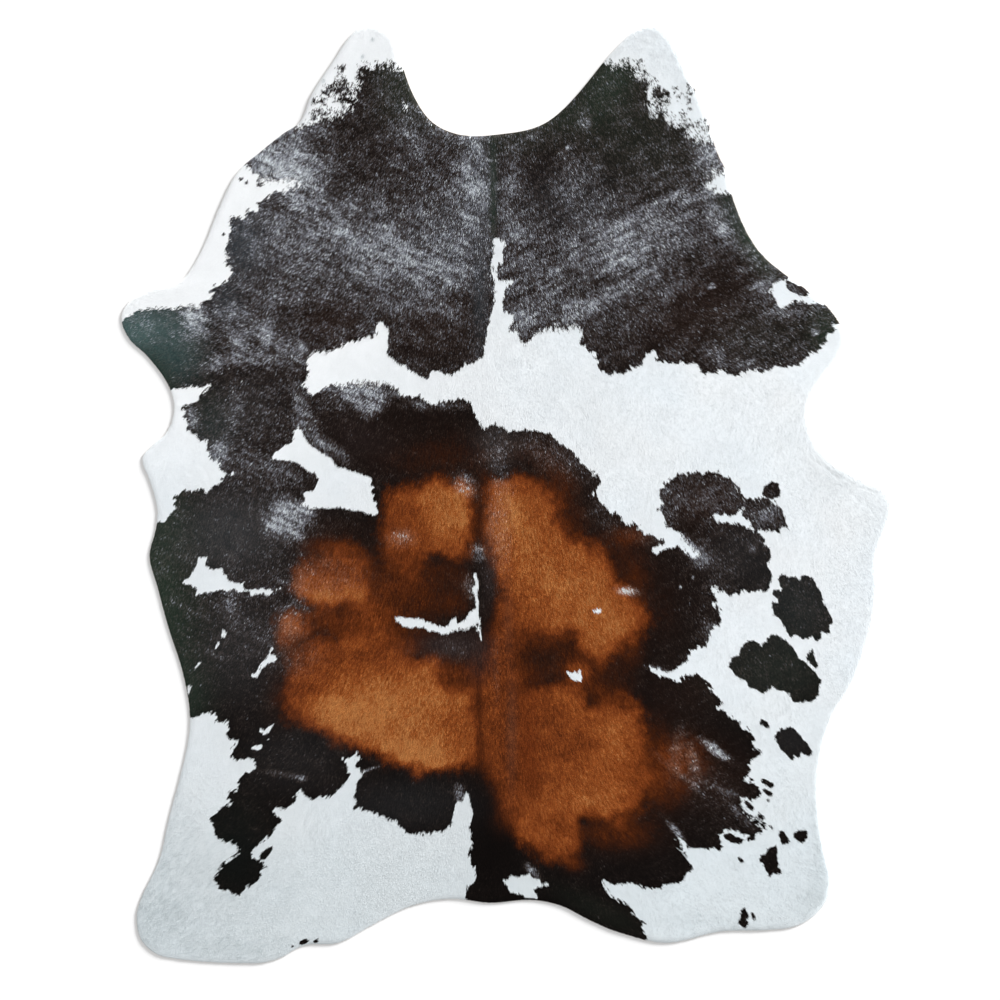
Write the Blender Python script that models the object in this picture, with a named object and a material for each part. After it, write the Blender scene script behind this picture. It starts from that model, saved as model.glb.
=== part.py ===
"""A cowhide rug: one whole tanned hide with its hair left on, trimmed to shape and lying flat.

The hide lies on the floor, flesh side down and hair side up. +X is to the right and +Y runs along the
spine towards the neck, seen from above, and +Z is up. The origin is on the floor, under the middle of
the hide's bounding box.
"""

import math

import bmesh
import bpy
from mathutils import Vector
from mathutils.geometry import delaunay_2d_cdt, interpolate_bezier

CM = 0.01
MM = 0.001

# Thickness: the tanned skin, and the coat of flat-lying hair on it.
SKIN_THICKNESS = 2.2 * MM
COAT_DEPTH = 3.2 * MM

# The coat is thicker on some of the animal, and thinner on its belly.
SPINE_X = -1.5 * CM  # the line of the back, seen from above
SPINE_RIDGE_HEIGHT = 0.8 * MM
SPINE_RIDGE_HALF_WIDTH = 5 * CM
NECK_START_Y = 35 * CM
NECK_FULL_Y = 75 * CM
NECK_EXTRA = 0.9 * MM
BELLY_START = 45 * CM  # from the line of the back, sideways
BELLY_FULL = 80 * CM
BELLY_THINNING = 0.8 * MM

# How the coat rounds off over the cut edge: how far in from the cut, and the share of its depth there.
EDGE_PROFILE = [
    (0.0 * MM, 0.00),
    (1.5 * MM, 0.45),
    (5.0 * MM, 0.80),
    (12.0 * MM, 1.00),
]

CURVE_STEPS = 5  # straight steps between two points of the outline
TOP_PITCH = 5 * CM  # spacing of the points that carry the relief of the top
TOP_MARGIN = 1.6 * CM  # free strip between those points and the rounded edge

# The cut edge, clockwise from the tip of the left neck lobe, as seen from above with the neck at the top:
# places in centimetres, x from the middle to the right and y from the middle towards the neck. A smooth
# curve runs through them all.
OUTLINE = {
    "notch of the neck, between its two lobes": [
        (-31.1, 110.3), (-26.7, 107.5), (-24.6, 100.9), (-21.7, 93.2), (-17.3, 87.1), (-10.5, 84.2),
        (-1.5, 84.4), (7.9, 86.4), (14.9, 91.8), (26.9, 105.9), (33.7, 110.2),
    ],
    "right side of the neck": [
        (38.0, 107.7), (43.1, 97.4), (47.1, 88.4), (49.2, 80.7), (52.1, 74.4), (53.2, 69.0),
        (57.2, 59.8),
    ],
    "right foreleg": [
        (61.9, 54.2), (74.8, 44.3), (79.1, 37.7), (78.6, 33.5), (73.7, 26.7), (71.1, 21.5),
        (71.1, 15.4),
    ],
    "right side of the belly": [
        (75.6, 8.1), (82.6, 3.9), (88.2, 1.3), (90.4, -3.4), (88.9, -8.6), (86.8, -15.2),
        (87.0, -23.1), (85.4, -32.8), (81.4, -44.3),
    ],
    "right hind leg": [
        (76.3, -53.0), (73.7, -61.9), (73.0, -72.0), (74.4, -83.1), (76.0, -92.0), (73.7, -97.6),
        (68.3, -101.4), (60.7, -102.5), (50.2, -102.8), (37.5, -105.5),
    ],
    "rump, where the tail was cut away": [
        (25.7, -102.8), (19.6, -100.2), (12.6, -96.7), (5.5, -95.4), (-3.9, -96.1), (-13.3, -95.1),
        (-22.7, -96.9), (-32.1, -101.6),
    ],
    "left hind leg": [
        (-39.6, -105.5), (-47.4, -106.0), (-53.2, -109.0), (-59.1, -110.3), (-80.3, -108.8),
        (-85.4, -105.4), (-86.8, -100.2), (-85.9, -95.5), (-81.5, -86.1), (-79.3, -76.7),
    ],
    "left side of the belly": [
        (-75.2, -60.7), (-74.3, -52.1), (-76.0, -41.9), (-79.3, -31.6), (-81.9, -22.0),
        (-83.8, -14.7), (-82.4, -8.6), (-82.0, -3.4), (-83.8, 3.2), (-85.5, 8.1), (-83.3, 11.2),
    ],
    "left foreleg": [
        (-79.5, 14.7), (-78.0, 20.1), (-79.5, 25.7), (-84.2, 32.2), (-88.5, 36.3), (-90.4, 41.2),
        (-88.5, 45.2), (-83.8, 48.1), (-77.2, 49.7),
    ],
    "left side of the neck": [
        (-74.4, 52.2), (-70.9, 58.5), (-66.9, 68.5), (-63.1, 75.6), (-57.5, 80.5), (-52.5, 84.5),
        (-48.5, 87.3), (-45.7, 93.9), (-40.5, 101.9), (-35.8, 108.5),
    ],
}

# Where the dried coat stands a little prouder or sinks: soft mounds, in centimetres but for the height.
SWELLS = [
    # (x, y, half-length along the turn, half-width, turn in degrees, height in mm)
    (-24.0, 62.0, 20.0, 7.0, 35.0, 0.45),
    (22.0, 60.0, 22.0, 7.0, -35.0, 0.45),
    (-38.0, 30.0, 16.0, 9.0, 60.0, -0.35),
    (38.0, 22.0, 18.0, 9.0, -55.0, -0.35),
    (-52.0, -6.0, 14.0, 8.0, 10.0, 0.40),
    (56.0, -18.0, 15.0, 8.0, 80.0, 0.35),
    (-22.0, -32.0, 24.0, 9.0, 85.0, 0.50),
    (24.0, -48.0, 22.0, 9.0, 95.0, 0.50),
    (-58.0, -78.0, 16.0, 9.0, 60.0, -0.35),
    (54.0, -82.0, 15.0, 9.0, -60.0, -0.30),
]


def clear_scene():
    for obj in list(bpy.data.objects):
        bpy.data.objects.remove(obj, do_unlink=True)


def outline_curve():
    """The cut edge as a closed list of places, clockwise, with the origin in the middle of its box.

    Between two of the outline's points runs a Bezier curve. Its direction at a point is that from the
    point before to the point after, and each handle is a third of the way to its neighbour.
    """
    marks = [Vector((x * CM, y * CM)) for stretch in OUTLINE.values() for x, y in stretch]
    places = []
    for index, start in enumerate(marks):
        before = marks[index - 1]
        end = marks[(index + 1) % len(marks)]
        after = marks[(index + 2) % len(marks)]
        third = (end - start).length / 3
        leaving = start + (end - before).normalized() * third
        arriving = end - (after - start).normalized() * third
        places += interpolate_bezier(start, leaving, arriving, end, CURVE_STEPS + 1)[:-1]
    low = Vector((min(place.x for place in places), min(place.y for place in places)))
    high = Vector((max(place.x for place in places), max(place.y for place in places)))
    middle = (low + high) / 2
    return [place.to_2d() - middle for place in places]


def inward(places):
    """The unit direction into the hide at each place of the clockwise cut edge."""
    directions = []
    for index in range(len(places)):
        along = places[(index + 1) % len(places)] - places[index - 1]
        directions.append(Vector((along.y, -along.x)).normalized())
    return directions


def smooth_step(start, end, value):
    """0 before the start, 1 past the end, and a smooth rise between them."""
    share = min(max((value - start) / (end - start), 0.0), 1.0)
    return share * share * (3 - 2 * share)


def coat_depth(x, y):
    """How deep the coat lies at a place: deeper along the spine and on the neck, thinner on the belly."""
    from_spine = abs(x - SPINE_X)
    depth = COAT_DEPTH
    depth += SPINE_RIDGE_HEIGHT * math.exp(-((from_spine / SPINE_RIDGE_HALF_WIDTH) ** 2))
    depth += NECK_EXTRA * smooth_step(NECK_START_Y, NECK_FULL_Y, y)
    depth -= BELLY_THINNING * smooth_step(BELLY_START, BELLY_FULL, from_spine)
    for swell_x, swell_y, half_length, half_width, turn, height in SWELLS:
        angle = math.radians(turn)
        right, up = x / CM - swell_x, y / CM - swell_y
        along = (right * math.cos(angle) + up * math.sin(angle)) / half_length
        across = (up * math.cos(angle) - right * math.sin(angle)) / half_width
        depth += height * MM * math.exp(-(along**2) - across**2)
    return depth


def top_places(ring):
    """Places on a triangular grid inside the ring, clear of it by the margin."""
    edges = list(zip(ring, ring[1:] + ring[:1]))
    low_x, high_x = min(place.x for place in ring), max(place.x for place in ring)
    low_y, high_y = min(place.y for place in ring), max(place.y for place in ring)
    row_height = TOP_PITCH * math.sqrt(3) / 2
    places = []
    for row in range(int((high_y - low_y) / row_height) + 1):
        y = low_y + row * row_height
        for column in range(int((high_x - low_x) / TOP_PITCH) + 1):
            place = Vector((low_x + (column + row % 2 / 2) * TOP_PITCH, y))
            if inside(place, edges) and distance_to(place, edges) > TOP_MARGIN:
                places.append(place)
    return places


def inside(place, edges):
    """Whether a line from the place to the right crosses the ring an odd number of times."""
    crossings = 0
    for start, end in edges:
        if (start.y > place.y) != (end.y > place.y):
            share = (place.y - start.y) / (end.y - start.y)
            crossings += start.x + share * (end.x - start.x) > place.x
    return crossings % 2 == 1


def distance_to(place, edges):
    """The distance from the place to the nearest corner of the ring."""
    return min((start - place).length for start, end in edges)


def build_hide():
    """One closed body: a flat underside, the cut edge, the coat rounding over it and the coat's top."""
    cut = outline_curve()
    directions = inward(cut)
    shape = bmesh.new()
    floor_ring = [shape.verts.new((place.x, place.y, 0.0)) for place in cut]
    shape.faces.new(floor_ring)

    rings = [floor_ring]
    for inset, share in EDGE_PROFILE:
        ring = []
        for place, direction in zip(cut, directions):
            x, y = place + direction * inset
            ring.append(shape.verts.new((x, y, SKIN_THICKNESS + share * coat_depth(x, y))))
        rings.append(ring)
    for lower, upper in zip(rings, rings[1:]):
        for index in range(len(cut)):
            shape.faces.new((lower[index - 1], upper[index - 1], upper[index], lower[index]))

    rim = rings[-1]
    rim_places = [vertex.co.to_2d() for vertex in rim]
    middle_places = top_places(rim_places)
    count = len(rim)
    rim_edges = [(index, (index + 1) % count) for index in range(count)]
    triangulated = delaunay_2d_cdt(rim_places + middle_places, rim_edges, [], 1, MM * 0.01)
    places, triangles, sources = triangulated[0], triangulated[2], triangulated[3]
    corners = []
    for place, source in zip(places, sources):
        if source and source[0] < count:
            corners.append(rim[source[0]])
        else:
            height = SKIN_THICKNESS + coat_depth(place.x, place.y)
            corners.append(shape.verts.new((place.x, place.y, height)))
    for triangle in triangles:
        shape.faces.new([corners[index] for index in triangle])

    bmesh.ops.recalc_face_normals(shape, faces=shape.faces)
    mesh = bpy.data.meshes.new("hide")
    shape.to_mesh(mesh)
    shape.free()
    mesh.shade_smooth()
    mesh.set_sharp_from_angle(angle=math.radians(50))
    hide = bpy.data.objects.new("hide", mesh)
    bpy.context.scene.collection.objects.link(hide)
    return hide


def hair_material():
    """Short glossy cow hair, dark brown over most of the hide."""
    material = bpy.data.materials.new("cow_hair")
    material.use_nodes = True
    shader = material.node_tree.nodes["Principled BSDF"]
    shader.inputs["Base Color"].default_value = (0.045, 0.03, 0.025, 1.0)
    shader.inputs["Roughness"].default_value = 0.55
    shader.inputs["Metallic"].default_value = 0.0
    return material


clear_scene()
hide = build_hide()
hide.data.materials.append(hair_material())
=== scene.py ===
# %% [markdown]
# # A cowhide rug
#
# The object is one whole tanned hide with its hair left on, trimmed to shape and lying flat. A hide rug is
# leather below and hair above, so the model has the same two things: a closed sheet of skin with its dense
# undercoat, and some eight hundred thousand short locks of hair on it. The markings are grown, not printed.
# Every lock is white, dark or tan for its whole length, as a real hair is, and an edge between two colours
# is ragged because hairs from one side lie over the other.

import bmesh
import bpy
import numpy as np
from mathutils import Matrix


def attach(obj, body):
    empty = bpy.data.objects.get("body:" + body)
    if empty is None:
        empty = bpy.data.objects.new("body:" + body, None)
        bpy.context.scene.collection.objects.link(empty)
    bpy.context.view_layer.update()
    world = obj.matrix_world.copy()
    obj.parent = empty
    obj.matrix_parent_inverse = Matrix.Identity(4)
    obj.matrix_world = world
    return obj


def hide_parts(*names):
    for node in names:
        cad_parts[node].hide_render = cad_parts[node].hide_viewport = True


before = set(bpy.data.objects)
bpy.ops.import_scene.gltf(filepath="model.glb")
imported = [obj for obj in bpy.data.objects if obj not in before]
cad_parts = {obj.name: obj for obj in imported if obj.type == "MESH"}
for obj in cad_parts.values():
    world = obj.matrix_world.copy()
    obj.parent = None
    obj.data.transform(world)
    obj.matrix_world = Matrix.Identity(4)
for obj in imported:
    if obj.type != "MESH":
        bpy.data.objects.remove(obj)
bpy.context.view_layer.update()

hide_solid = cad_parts["hide"]

# %% [markdown]
# ## Units
#
# Blender works in metres, and a hide is measured in centimetres. The tables below are in centimetres, with
# x from the middle of the rug to the right and y towards the neck, so they can be checked with a tape.

# %% Units
CM = 0.01
MM = 0.001

# %% [markdown]
# ## Camera, floor and light
#
# The rug is seen from straight above, as a shop shows it. A long lens high up keeps the edges free of
# perspective. The floor is white. One lamp comes in low from the upper right, as even as the sun but wider,
# so it rakes over the hair and leaves a narrow soft shadow at the rug's left and lower edges. A plain white
# room lights everything else, and no part of the hair goes black.

# %% Camera
VIEW_WIDTH = 235.0 * CM  # what the picture shows of the floor, from side to side
VIEW_MIDDLE = (-1.53 * CM, -1.53 * CM)
LENS = 100.0  # in Blender's millimetres, on a sensor 36 wide
SENSOR = 36.0

camera = bpy.data.objects.new("camera", bpy.data.cameras.new("camera"))
camera.data.lens = LENS
camera.data.sensor_width = SENSOR
camera.location = (*VIEW_MIDDLE, VIEW_WIDTH * LENS / SENSOR)
bpy.context.scene.collection.objects.link(camera)
bpy.context.scene.camera = camera
bpy.context.scene.view_settings.view_transform = "Standard"
print("camera height:", round(camera.location.z, 2), "metres")

# %% Floor
FLOOR_HALF = 30.0
FLOOR_DROP = 0.3 * MM  # just below the rug, so that the two never share a plane


def principled(name, **values):
    """A new material and its Principled shader, with the given socket values set on the shader itself."""
    material = bpy.data.materials.new(name)
    material.use_nodes = True
    shader = material.node_tree.nodes["Principled BSDF"]
    for socket, value in values.items():
        shader.inputs[socket.replace("_", " ")].default_value = value
    return material, shader


floor_mesh = bpy.data.meshes.new("floor")
floor_corners = np.array([(-1, -1), (1, -1), (1, 1), (-1, 1)]) * FLOOR_HALF
floor_mesh.from_pydata([(x, y, -FLOOR_DROP) for x, y in floor_corners], [], [(0, 1, 2, 3)])
floor = bpy.data.objects.new("floor", floor_mesh)
floor_material, _ = principled("floor_white", Base_Color=(0.85, 0.85, 0.85, 1.0), Roughness=0.9)
floor_mesh.materials.append(floor_material)
bpy.context.scene.collection.objects.link(floor)
print("floor:", 2 * FLOOR_HALF, "metres wide")

# %% Light
KEY_FROM = (5.0, 4.4, 1.45)  # the direction it comes from
KEY_STRENGTH = 8.35
KEY_WIDTH = np.radians(16)  # how wide the lamp looks from the rug
ROOM_STRENGTH = 0.71

key = bpy.data.objects.new("key", bpy.data.lights.new("key", "SUN"))
key.data.energy = KEY_STRENGTH
key.data.angle = KEY_WIDTH
key.location = KEY_FROM
key.rotation_euler = (-key.location).to_track_quat("-Z", "Y").to_euler()
bpy.context.scene.collection.objects.link(key)

room = bpy.data.worlds.new("room")
room.use_nodes = True
room.node_tree.nodes["Background"].inputs["Color"].default_value = (1.0, 1.0, 1.0, 1.0)
room.node_tree.nodes["Background"].inputs["Strength"].default_value = ROOM_STRENGTH
bpy.context.scene.world = room
lamp_height = np.degrees(np.arctan2(KEY_FROM[2], np.hypot(*KEY_FROM[:2])))
print("lamp above the horizon:", round(lamp_height, 1), "degrees")

# %% [markdown]
# ## The cut edge
#
# The tanner lays the hide hair side down and trims it with a knife. That cut is a driving shape of the
# whole rug, and the frame already has it, so it is read from there and not drawn a second time. The flat
# underside of the solid is a fan of triangles. An edge that only one of them uses lies on the cut, and the
# edges are put in order by doubling: knowing who comes one step on gives who comes two on, then four.

# %% Read the cut edge from the frame
SAME_PLACE = 5  # decimals of a metre
ON_FLOOR = 0.1 * MM


def solid_arrays(solid):
    """Points and triangles of a mesh, as arrays, with points that share a place made one."""
    mesh = solid.data
    mesh.calc_loop_triangles()
    points = np.empty(len(mesh.vertices) * 3)
    triangles = np.empty(len(mesh.loop_triangles) * 3, np.int32)
    mesh.vertices.foreach_get("co", points)
    mesh.loop_triangles.foreach_get("vertices", triangles)
    places, index = np.unique(np.round(points.reshape(-1, 3), SAME_PLACE), axis=0, return_inverse=True)
    return places, index.reshape(-1)[triangles].reshape(-1, 3)


def open_edges(faces, count):
    """The directed edges, as pairs of point numbers, that no neighbouring face runs the other way."""
    starts = faces.ravel()
    ends = np.roll(faces, -1, axis=1).ravel()
    alone = ~np.isin(starts.astype(np.int64) * count + ends, ends.astype(np.int64) * count + starts)
    return np.stack([starts[alone], ends[alone]], axis=1)


def in_order(edges, count):
    """Point numbers round a closed chain of directed edges, found by doubling the length that is known."""
    jump = np.zeros(count, int)
    jump[edges[:, 0]] = edges[:, 1]
    chain = edges[:1, 0]
    while len(chain) < len(edges):
        chain = np.concatenate([chain, jump[chain]])
        jump = jump[jump]
    return chain[: len(edges)]


solid_points, solid_faces = solid_arrays(hide_solid)
underside = solid_faces[(solid_points[solid_faces, 2] < ON_FLOOR).all(axis=1)]
cut = solid_points[in_order(open_edges(underside, len(solid_points)), len(solid_points)), :2]
following = np.roll(cut, -1, axis=0)
cut_length = np.linalg.norm(following - cut, axis=1).sum()
cut_area = abs((cut[:, 0] * following[:, 1] - cut[:, 1] * following[:, 0]).sum()) / 2
print("cut edge:", len(cut), "points,", round(cut_length, 2), "m round,", round(cut_area, 3), "m2")

# %% [markdown]
# ## A chart of distances
#
# Where the skin ends, where a patch ends, how near a hair is to an edge: all these are one question, how
# far a place is from a closed line and on which side. The answer is worked out once, on a fine net over
# the whole rug, and then read for any number of places at a time. A chart holds metres, negative inside.

# %% Charts
NET = 2.0 * MM
NET_LOW = np.array([-0.96, -1.16])
NET_COLUMNS, NET_ROWS = 961, 1161
REACH = 40.0 * MM  # a chart says no more than this
net_x = NET_LOW[0] + np.arange(NET_COLUMNS) * NET
net_y = NET_LOW[1] + np.arange(NET_ROWS) * NET


def chart(line):
    """Signed distance to a closed line on the net. For each straight step of the line, the nearest point is
    where a place's shadow falls on it, held between its ends. A place is inside if the line crosses the row
    to its left an odd number of times."""
    nearest = np.full((NET_ROWS, NET_COLUMNS), REACH)
    crossings = np.zeros((NET_ROWS, NET_COLUMNS + 1), np.int32)
    for start, end in zip(line, np.roll(line, -1, axis=0)):
        low = np.floor((np.minimum(start, end) - REACH - NET_LOW) / NET).astype(int).clip(0)
        high = np.ceil((np.maximum(start, end) + REACH - NET_LOW) / NET).astype(int).clip(0)
        columns, rows = slice(low[0], high[0]), slice(low[1], high[1])
        along = end - start
        right, up = net_x[None, columns] - start[0], net_y[rows, None] - start[1]
        share = ((right * along[0] + up * along[1]) / max(along @ along, 1e-12)).clip(0, 1)
        distance = np.hypot(right - share * along[0], up - share * along[1])
        np.minimum(nearest[rows, columns], distance, out=nearest[rows, columns])
        crossed = np.nonzero((net_y > min(start[1], end[1])) & (net_y <= max(start[1], end[1])))[0]
        if len(crossed):
            crossing = start[0] + (net_y[crossed] - start[1]) / along[1] * along[0]
            column = np.ceil((crossing - NET_LOW[0]) / NET).astype(int).clip(0, NET_COLUMNS)
            crossings[crossed, column] += 1
    inside = np.cumsum(crossings, axis=1)[:, :NET_COLUMNS] % 2 == 1
    return np.where(inside, -nearest, nearest)


def between(values, column, row):
    """The mix of the four corners of the square that a place on a net falls in, by how near each is."""
    column, row = column.clip(0, values.shape[1] - 1.001), row.clip(0, values.shape[0] - 1.001)
    i, j = column.astype(int), row.astype(int)
    u, v = column - i, row - j
    lower = values[j, i] * (1 - u) + values[j, i + 1] * u
    upper = values[j + 1, i] * (1 - u) + values[j + 1, i + 1] * u
    return lower * (1 - v) + upper * v


def read(values, x, y):
    """The chart's value at each place."""
    return between(values, (x - NET_LOW[0]) / NET, (y - NET_LOW[1]) / NET)


edge_chart = chart(cut)
print("inside the cut:", round((edge_chart < 0).sum() * NET**2, 3), "m2 of the net")

# %% [markdown]
# ## How the hair lies
#
# A cow's hair points from the neck to the tail along the back, and outwards and down on the flanks. The
# table gives, for one side, how far the hair turns away from straight down the back. The other side is
# its mirror. Between the places of the table the turn is an average in which near places weigh more.

# %% The back, and the lay of the hair
BACK = np.array([  # the line of the back: (y, x)
    (-96, -5.0), (-70, -6.0), (-30, -6.2), (10, -5.8), (30, -4.0), (60, -2.6), (84, -3.0),
]) * CM
LAY = np.array([  # (from the back, y, turn in degrees)
    (0, 80, 0), (0, 50, 0), (0, 20, 0), (0, -10, 0), (0, -40, 0), (0, -70, 0), (0, -95, 0),
    (14, 75, 22), (30, 95, 24), (45, 78, 38), (25, 55, 36), (52, 58, 50), (82, 40, 68), (60, 30, 46),
    (28, 22, 26), (60, 5, 30), (86, 2, 46), (66, -8, 20), (72, -28, 26), (54, -40, 30), (28, -20, 17),
    (28, -52, 20), (70, -56, 36), (42, -62, 36), (62, -74, 52), (46, -86, 54), (74, -92, 52),
    (20, -86, 30), (60, -103, 46),
])
LAY_REACH = 15.0 * CM
PARTING = 4.0 * CM  # how far from the line of the back the turn has mostly set in


def from_back(x, y):
    """Distance from the line of the back, positive to the right."""
    return x - np.interp(y, BACK[:, 0], BACK[:, 1])


def lay(x, y):
    """Unit direction of the hair at each place: turned away from -Y, outwards, by the weighted turn."""
    out = from_back(x, y)
    turns, weights = 0.0, 1e-9
    for row_out, row_y, row_turn in LAY:
        far = (np.abs(out) - row_out * CM) ** 2 + (y - row_y * CM) ** 2
        weight = np.exp(-far / (2 * LAY_REACH**2))
        turns, weights = turns + weight * row_turn, weights + weight
    turn = np.radians(turns / weights) * np.tanh(out / PARTING)
    return np.sin(turn), -np.cos(turn)


print("lay of the hair:", len(LAY), "places for one side")

# %% [markdown]
# ## Chance
#
# Hair is never even. Two kinds of randomness do most of the work: soft mottling of any grain, and the same
# mottling smeared along the hair, which gives locks. Both are seeded, so the rug is the same every time.

# %% Mottling and locks
GRAINS = 1024
ALONG_A_LOCK = np.linspace(-0.5, 0.5, 7)
STRONG_AGAIN = 2.0  # a mean of several places is weaker than one


def mottle(x, y, grain, seed):
    """Smooth random values from -1 to 1. Each corner of a net of squares as wide as the grain has a random
    value, and a place mixes its four corners, easing in and out of each."""
    corners = np.random.default_rng(seed).uniform(-1, 1, (GRAINS, GRAINS))
    column, row = x / grain + 311.3, y / grain + 437.7
    i, j = np.floor(column).astype(int), np.floor(row).astype(int)
    u, v = column - i, row - j
    u, v = u * u * (3 - 2 * u), v * v * (3 - 2 * v)
    i, j, after_i, after_j = i % GRAINS, j % GRAINS, (i + 1) % GRAINS, (j + 1) % GRAINS
    lower = corners[j, i] * (1 - u) + corners[j, after_i] * u
    upper = corners[after_j, i] * (1 - u) + corners[after_j, after_i] * u
    return lower * (1 - v) + upper * v


def locks(x, y, grain, seed, across, up, length):
    """Mottling smeared along a direction: its mean over the places of a short line, made strong again."""
    total = 0.0
    for share in ALONG_A_LOCK:
        total = total + mottle(x + share * length * across, y + share * length * up, grain, seed)
    return total / len(ALONG_A_LOCK) * STRONG_AGAIN


def mottled(x, y, grains):
    """The sum of several mottlings, from a table of (strength, grain in mm, seed)."""
    return sum(strength * mottle(x, y, grain * MM, seed) for strength, grain, seed in grains)


print("mottling repeats after", GRAINS, "grains")

# %% [markdown]
# ## The patches
#
# This hide has four large dark patches that run into each other, white stars and slits inside them, and
# spots. They could be painted on a picture, but a picture has one sharpness. Here each is a closed line
# through places read off the rug, in centimetres, and stays sharp at any distance. Places outside
# the cut edge are there on purpose: the hair's colour runs on to the edge and is cut with it.

# %% The cape, over neck and shoulders
CAPE = [  # (x, y), as in every outline below
    # the notch of the neck, past the edge
    (-22, 100), (-19, 93), (-12, 88), (-1, 87.5), (8, 90), (13, 95), (19, 102),
    # across the right lobe of the neck
    (23.5, 101), (24.5, 101.2), (25.2, 100.3), (26, 101), (27, 100.6), (27.8, 101.6), (28.5, 101.5),
    (28.3, 100.3), (29.5, 100), (30.3, 100.6), (31, 102), (31.8, 101.8), (31.4, 100.3), (30.7, 98.8),
    (31.5, 97.4), (33, 97.2), (33.5, 95.8), (33.2, 94), (33.5, 92.5), (34.2, 90), (35, 88.8), (36, 89.8),
    (37, 89.8), (38, 88.8), (38.3, 87.7), (39.3, 86.9), (41, 86.5), (42, 85.5), (42.6, 84.4),
    (43.6, 83.3), (45, 83), (47, 82.8), (50, 82.7),
    # past the right edge, to the foreleg
    (55, 80), (59, 68), (66, 58), (78, 48), (81, 41),
    # the lower edge of the right foreleg and shoulder
    (77.3, 40), (77.5, 38.7), (77, 37.8), (75.5, 37), (75, 35.8), (74, 34.8), (73.5, 33.5), (72, 32.7),
    (70.5, 32), (70, 31.3), (69.5, 30.5), (68.5, 30), (67, 30), (65.5, 29.5), (64, 29.6), (62.5, 29.4),
    (61.5, 29), (60, 28.7), (58.5, 29), (57, 28.8), (55.5, 28.5), (54.5, 27.8), (52.5, 28),
    (51.5, 28.8), (50, 29), (49.5, 28), (47.5, 28.1), (46.5, 28), (45.5, 29), (44.8, 30.2),
    (43.5, 30.6), (42, 30.3), (40, 30.3), (38.5, 30.5), (37, 31.2), (35.5, 31.3), (35.5, 32.5),
    (35, 33.4), (34, 33.5), (33, 32.8), (32, 31.5), (31.2, 30.2), (30, 29.5), (28.5, 28.8), (27.5, 28),
    (26, 28.2), (24.5, 28), (23, 28.5), (21.5, 29.3), (21.3, 30.5), (20.5, 31.8), (21, 33),
    (19.5, 33.5), (18.5, 34.5), (17, 35), (17.3, 36), (17.5, 38), (16.5, 39), (15, 38.9), (13, 38.8),
    (11, 38.6), (9, 38), (7.5, 37.5), (6, 36.8), (5, 36), (4, 35.4), (3, 36.5), (2.8, 37.9),
    (1.5, 38.2), (0.5, 38.4), (1.2, 40), (1.8, 41), (1.5, 42), (0.3, 42.2),
    # up and down the white slit on the withers
    (-0.6, 42.8), (-1, 44), (-0.8, 45.5), (-0.3, 47.5), (0.7, 49), (1.7, 49.8), (0, 50), (-2, 50.1),
    (-2.3, 51.5), (-2, 52.5), (-1.4, 54), (-0.6, 55.5), (-1, 57), (-0.7, 58), (-0.8, 59.8),
    (-2, 60.2), (-3.2, 60.2), (-3, 59), (-3.2, 57), (-3.5, 55), (-3.8, 53.4), (-3.3, 52), (-3, 51),
    (-2.8, 49.5), (-2.8, 47), (-3, 44.5), (-3.7, 42), (-4.2, 39.5), (-4.7, 37), (-5, 35),
    # the lower edge of the left shoulder
    (-5.4, 32.8), (-6.4, 31.4), (-8, 30.6), (-9.5, 30.3), (-9.7, 29.3), (-11.5, 28.8), (-13, 28),
    (-14.5, 28), (-16, 28.8), (-18, 28.2), (-18.5, 27.3), (-20, 27.2), (-21.5, 28.3), (-23, 29),
    (-24.5, 30), (-26, 31), (-27.5, 31.8), (-28.3, 33), (-28, 35), (-28, 37), (-28.2, 38.7),
    (-29, 39.9), (-30, 39.7), (-30.7, 38.5), (-30.5, 37.5), (-31.5, 36.6), (-33.5, 36.3),
    (-35, 35.8), (-37.5, 35.5), (-39, 34.2), (-41, 33.9), (-44, 33), (-46, 32.4), (-47, 31),
    (-46.6, 29.5), (-46.8, 27.5),
    # through the dark of the left shoulder, then the left foreleg
    (-50, 24), (-60, 22), (-68, 24), (-70, 25.8), (-71, 25.1), (-72.5, 25.1), (-75, 24.9), (-77, 24.3),
    (-81, 24.2), (-88, 30), (-94, 36), (-94, 40), (-91, 40), (-89.2, 41.2), (-88, 42), (-86, 42.8),
    (-84, 43.2), (-81, 43.7), (-78.5, 43.1), (-77, 43.5), (-75.5, 43.4), (-74, 43.6), (-72.6, 44),
    (-71.4, 45), (-70, 45.5), (-69.3, 46.5), (-69.3, 47.7), (-69, 48.4), (-67, 48.6), (-66.5, 49.5),
    (-65.5, 50), (-64.9, 51), (-64.3, 52), (-65.3, 53), (-65.8, 54), (-65.4, 55.5), (-65.5, 56.6),
    (-66, 58), (-65, 59.2), (-64.9, 60.5), (-64.5, 62), (-65, 63.5), (-64.4, 64.9), (-63, 65), (-62, 64.3),
    (-61.4, 65.3), (-60.8, 66.7), (-60, 66.3), (-59, 66.1), (-58.1, 67), (-58.8, 68.4), (-57.5, 69),
    (-56.3, 69.6), (-55, 70), (-54, 70.5), (-51.6, 70.9), (-49.8, 71.6), (-48.8, 72.4), (-49.8, 73.2),
    (-53, 73.6), (-56, 73.8), (-58.3, 74.4), (-60, 75.8), (-61.5, 77), (-62.5, 78.4), (-65, 80.5),
    (-60, 86), (-52, 89),
    # across the left lobe of the neck
    (-48.8, 86.6), (-47.5, 86.5), (-46, 87), (-45, 87.8), (-43, 88.5), (-41, 89), (-39, 89.6),
    (-37.2, 90.6), (-36.8, 92), (-36, 93.5), (-35.3, 95), (-34.6, 96.5), (-33.8, 98), (-34.3, 99),
    (-34.4, 99.8), (-33.6, 100.6), (-33, 101), (-32, 100.2), (-31, 99.8), (-30, 100.9), (-29, 100.8),
    (-28, 101.2), (-27, 100.9), (-26, 100.2), (-25, 99.5),
]
print("cape:", len(CAPE), "places")

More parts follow.
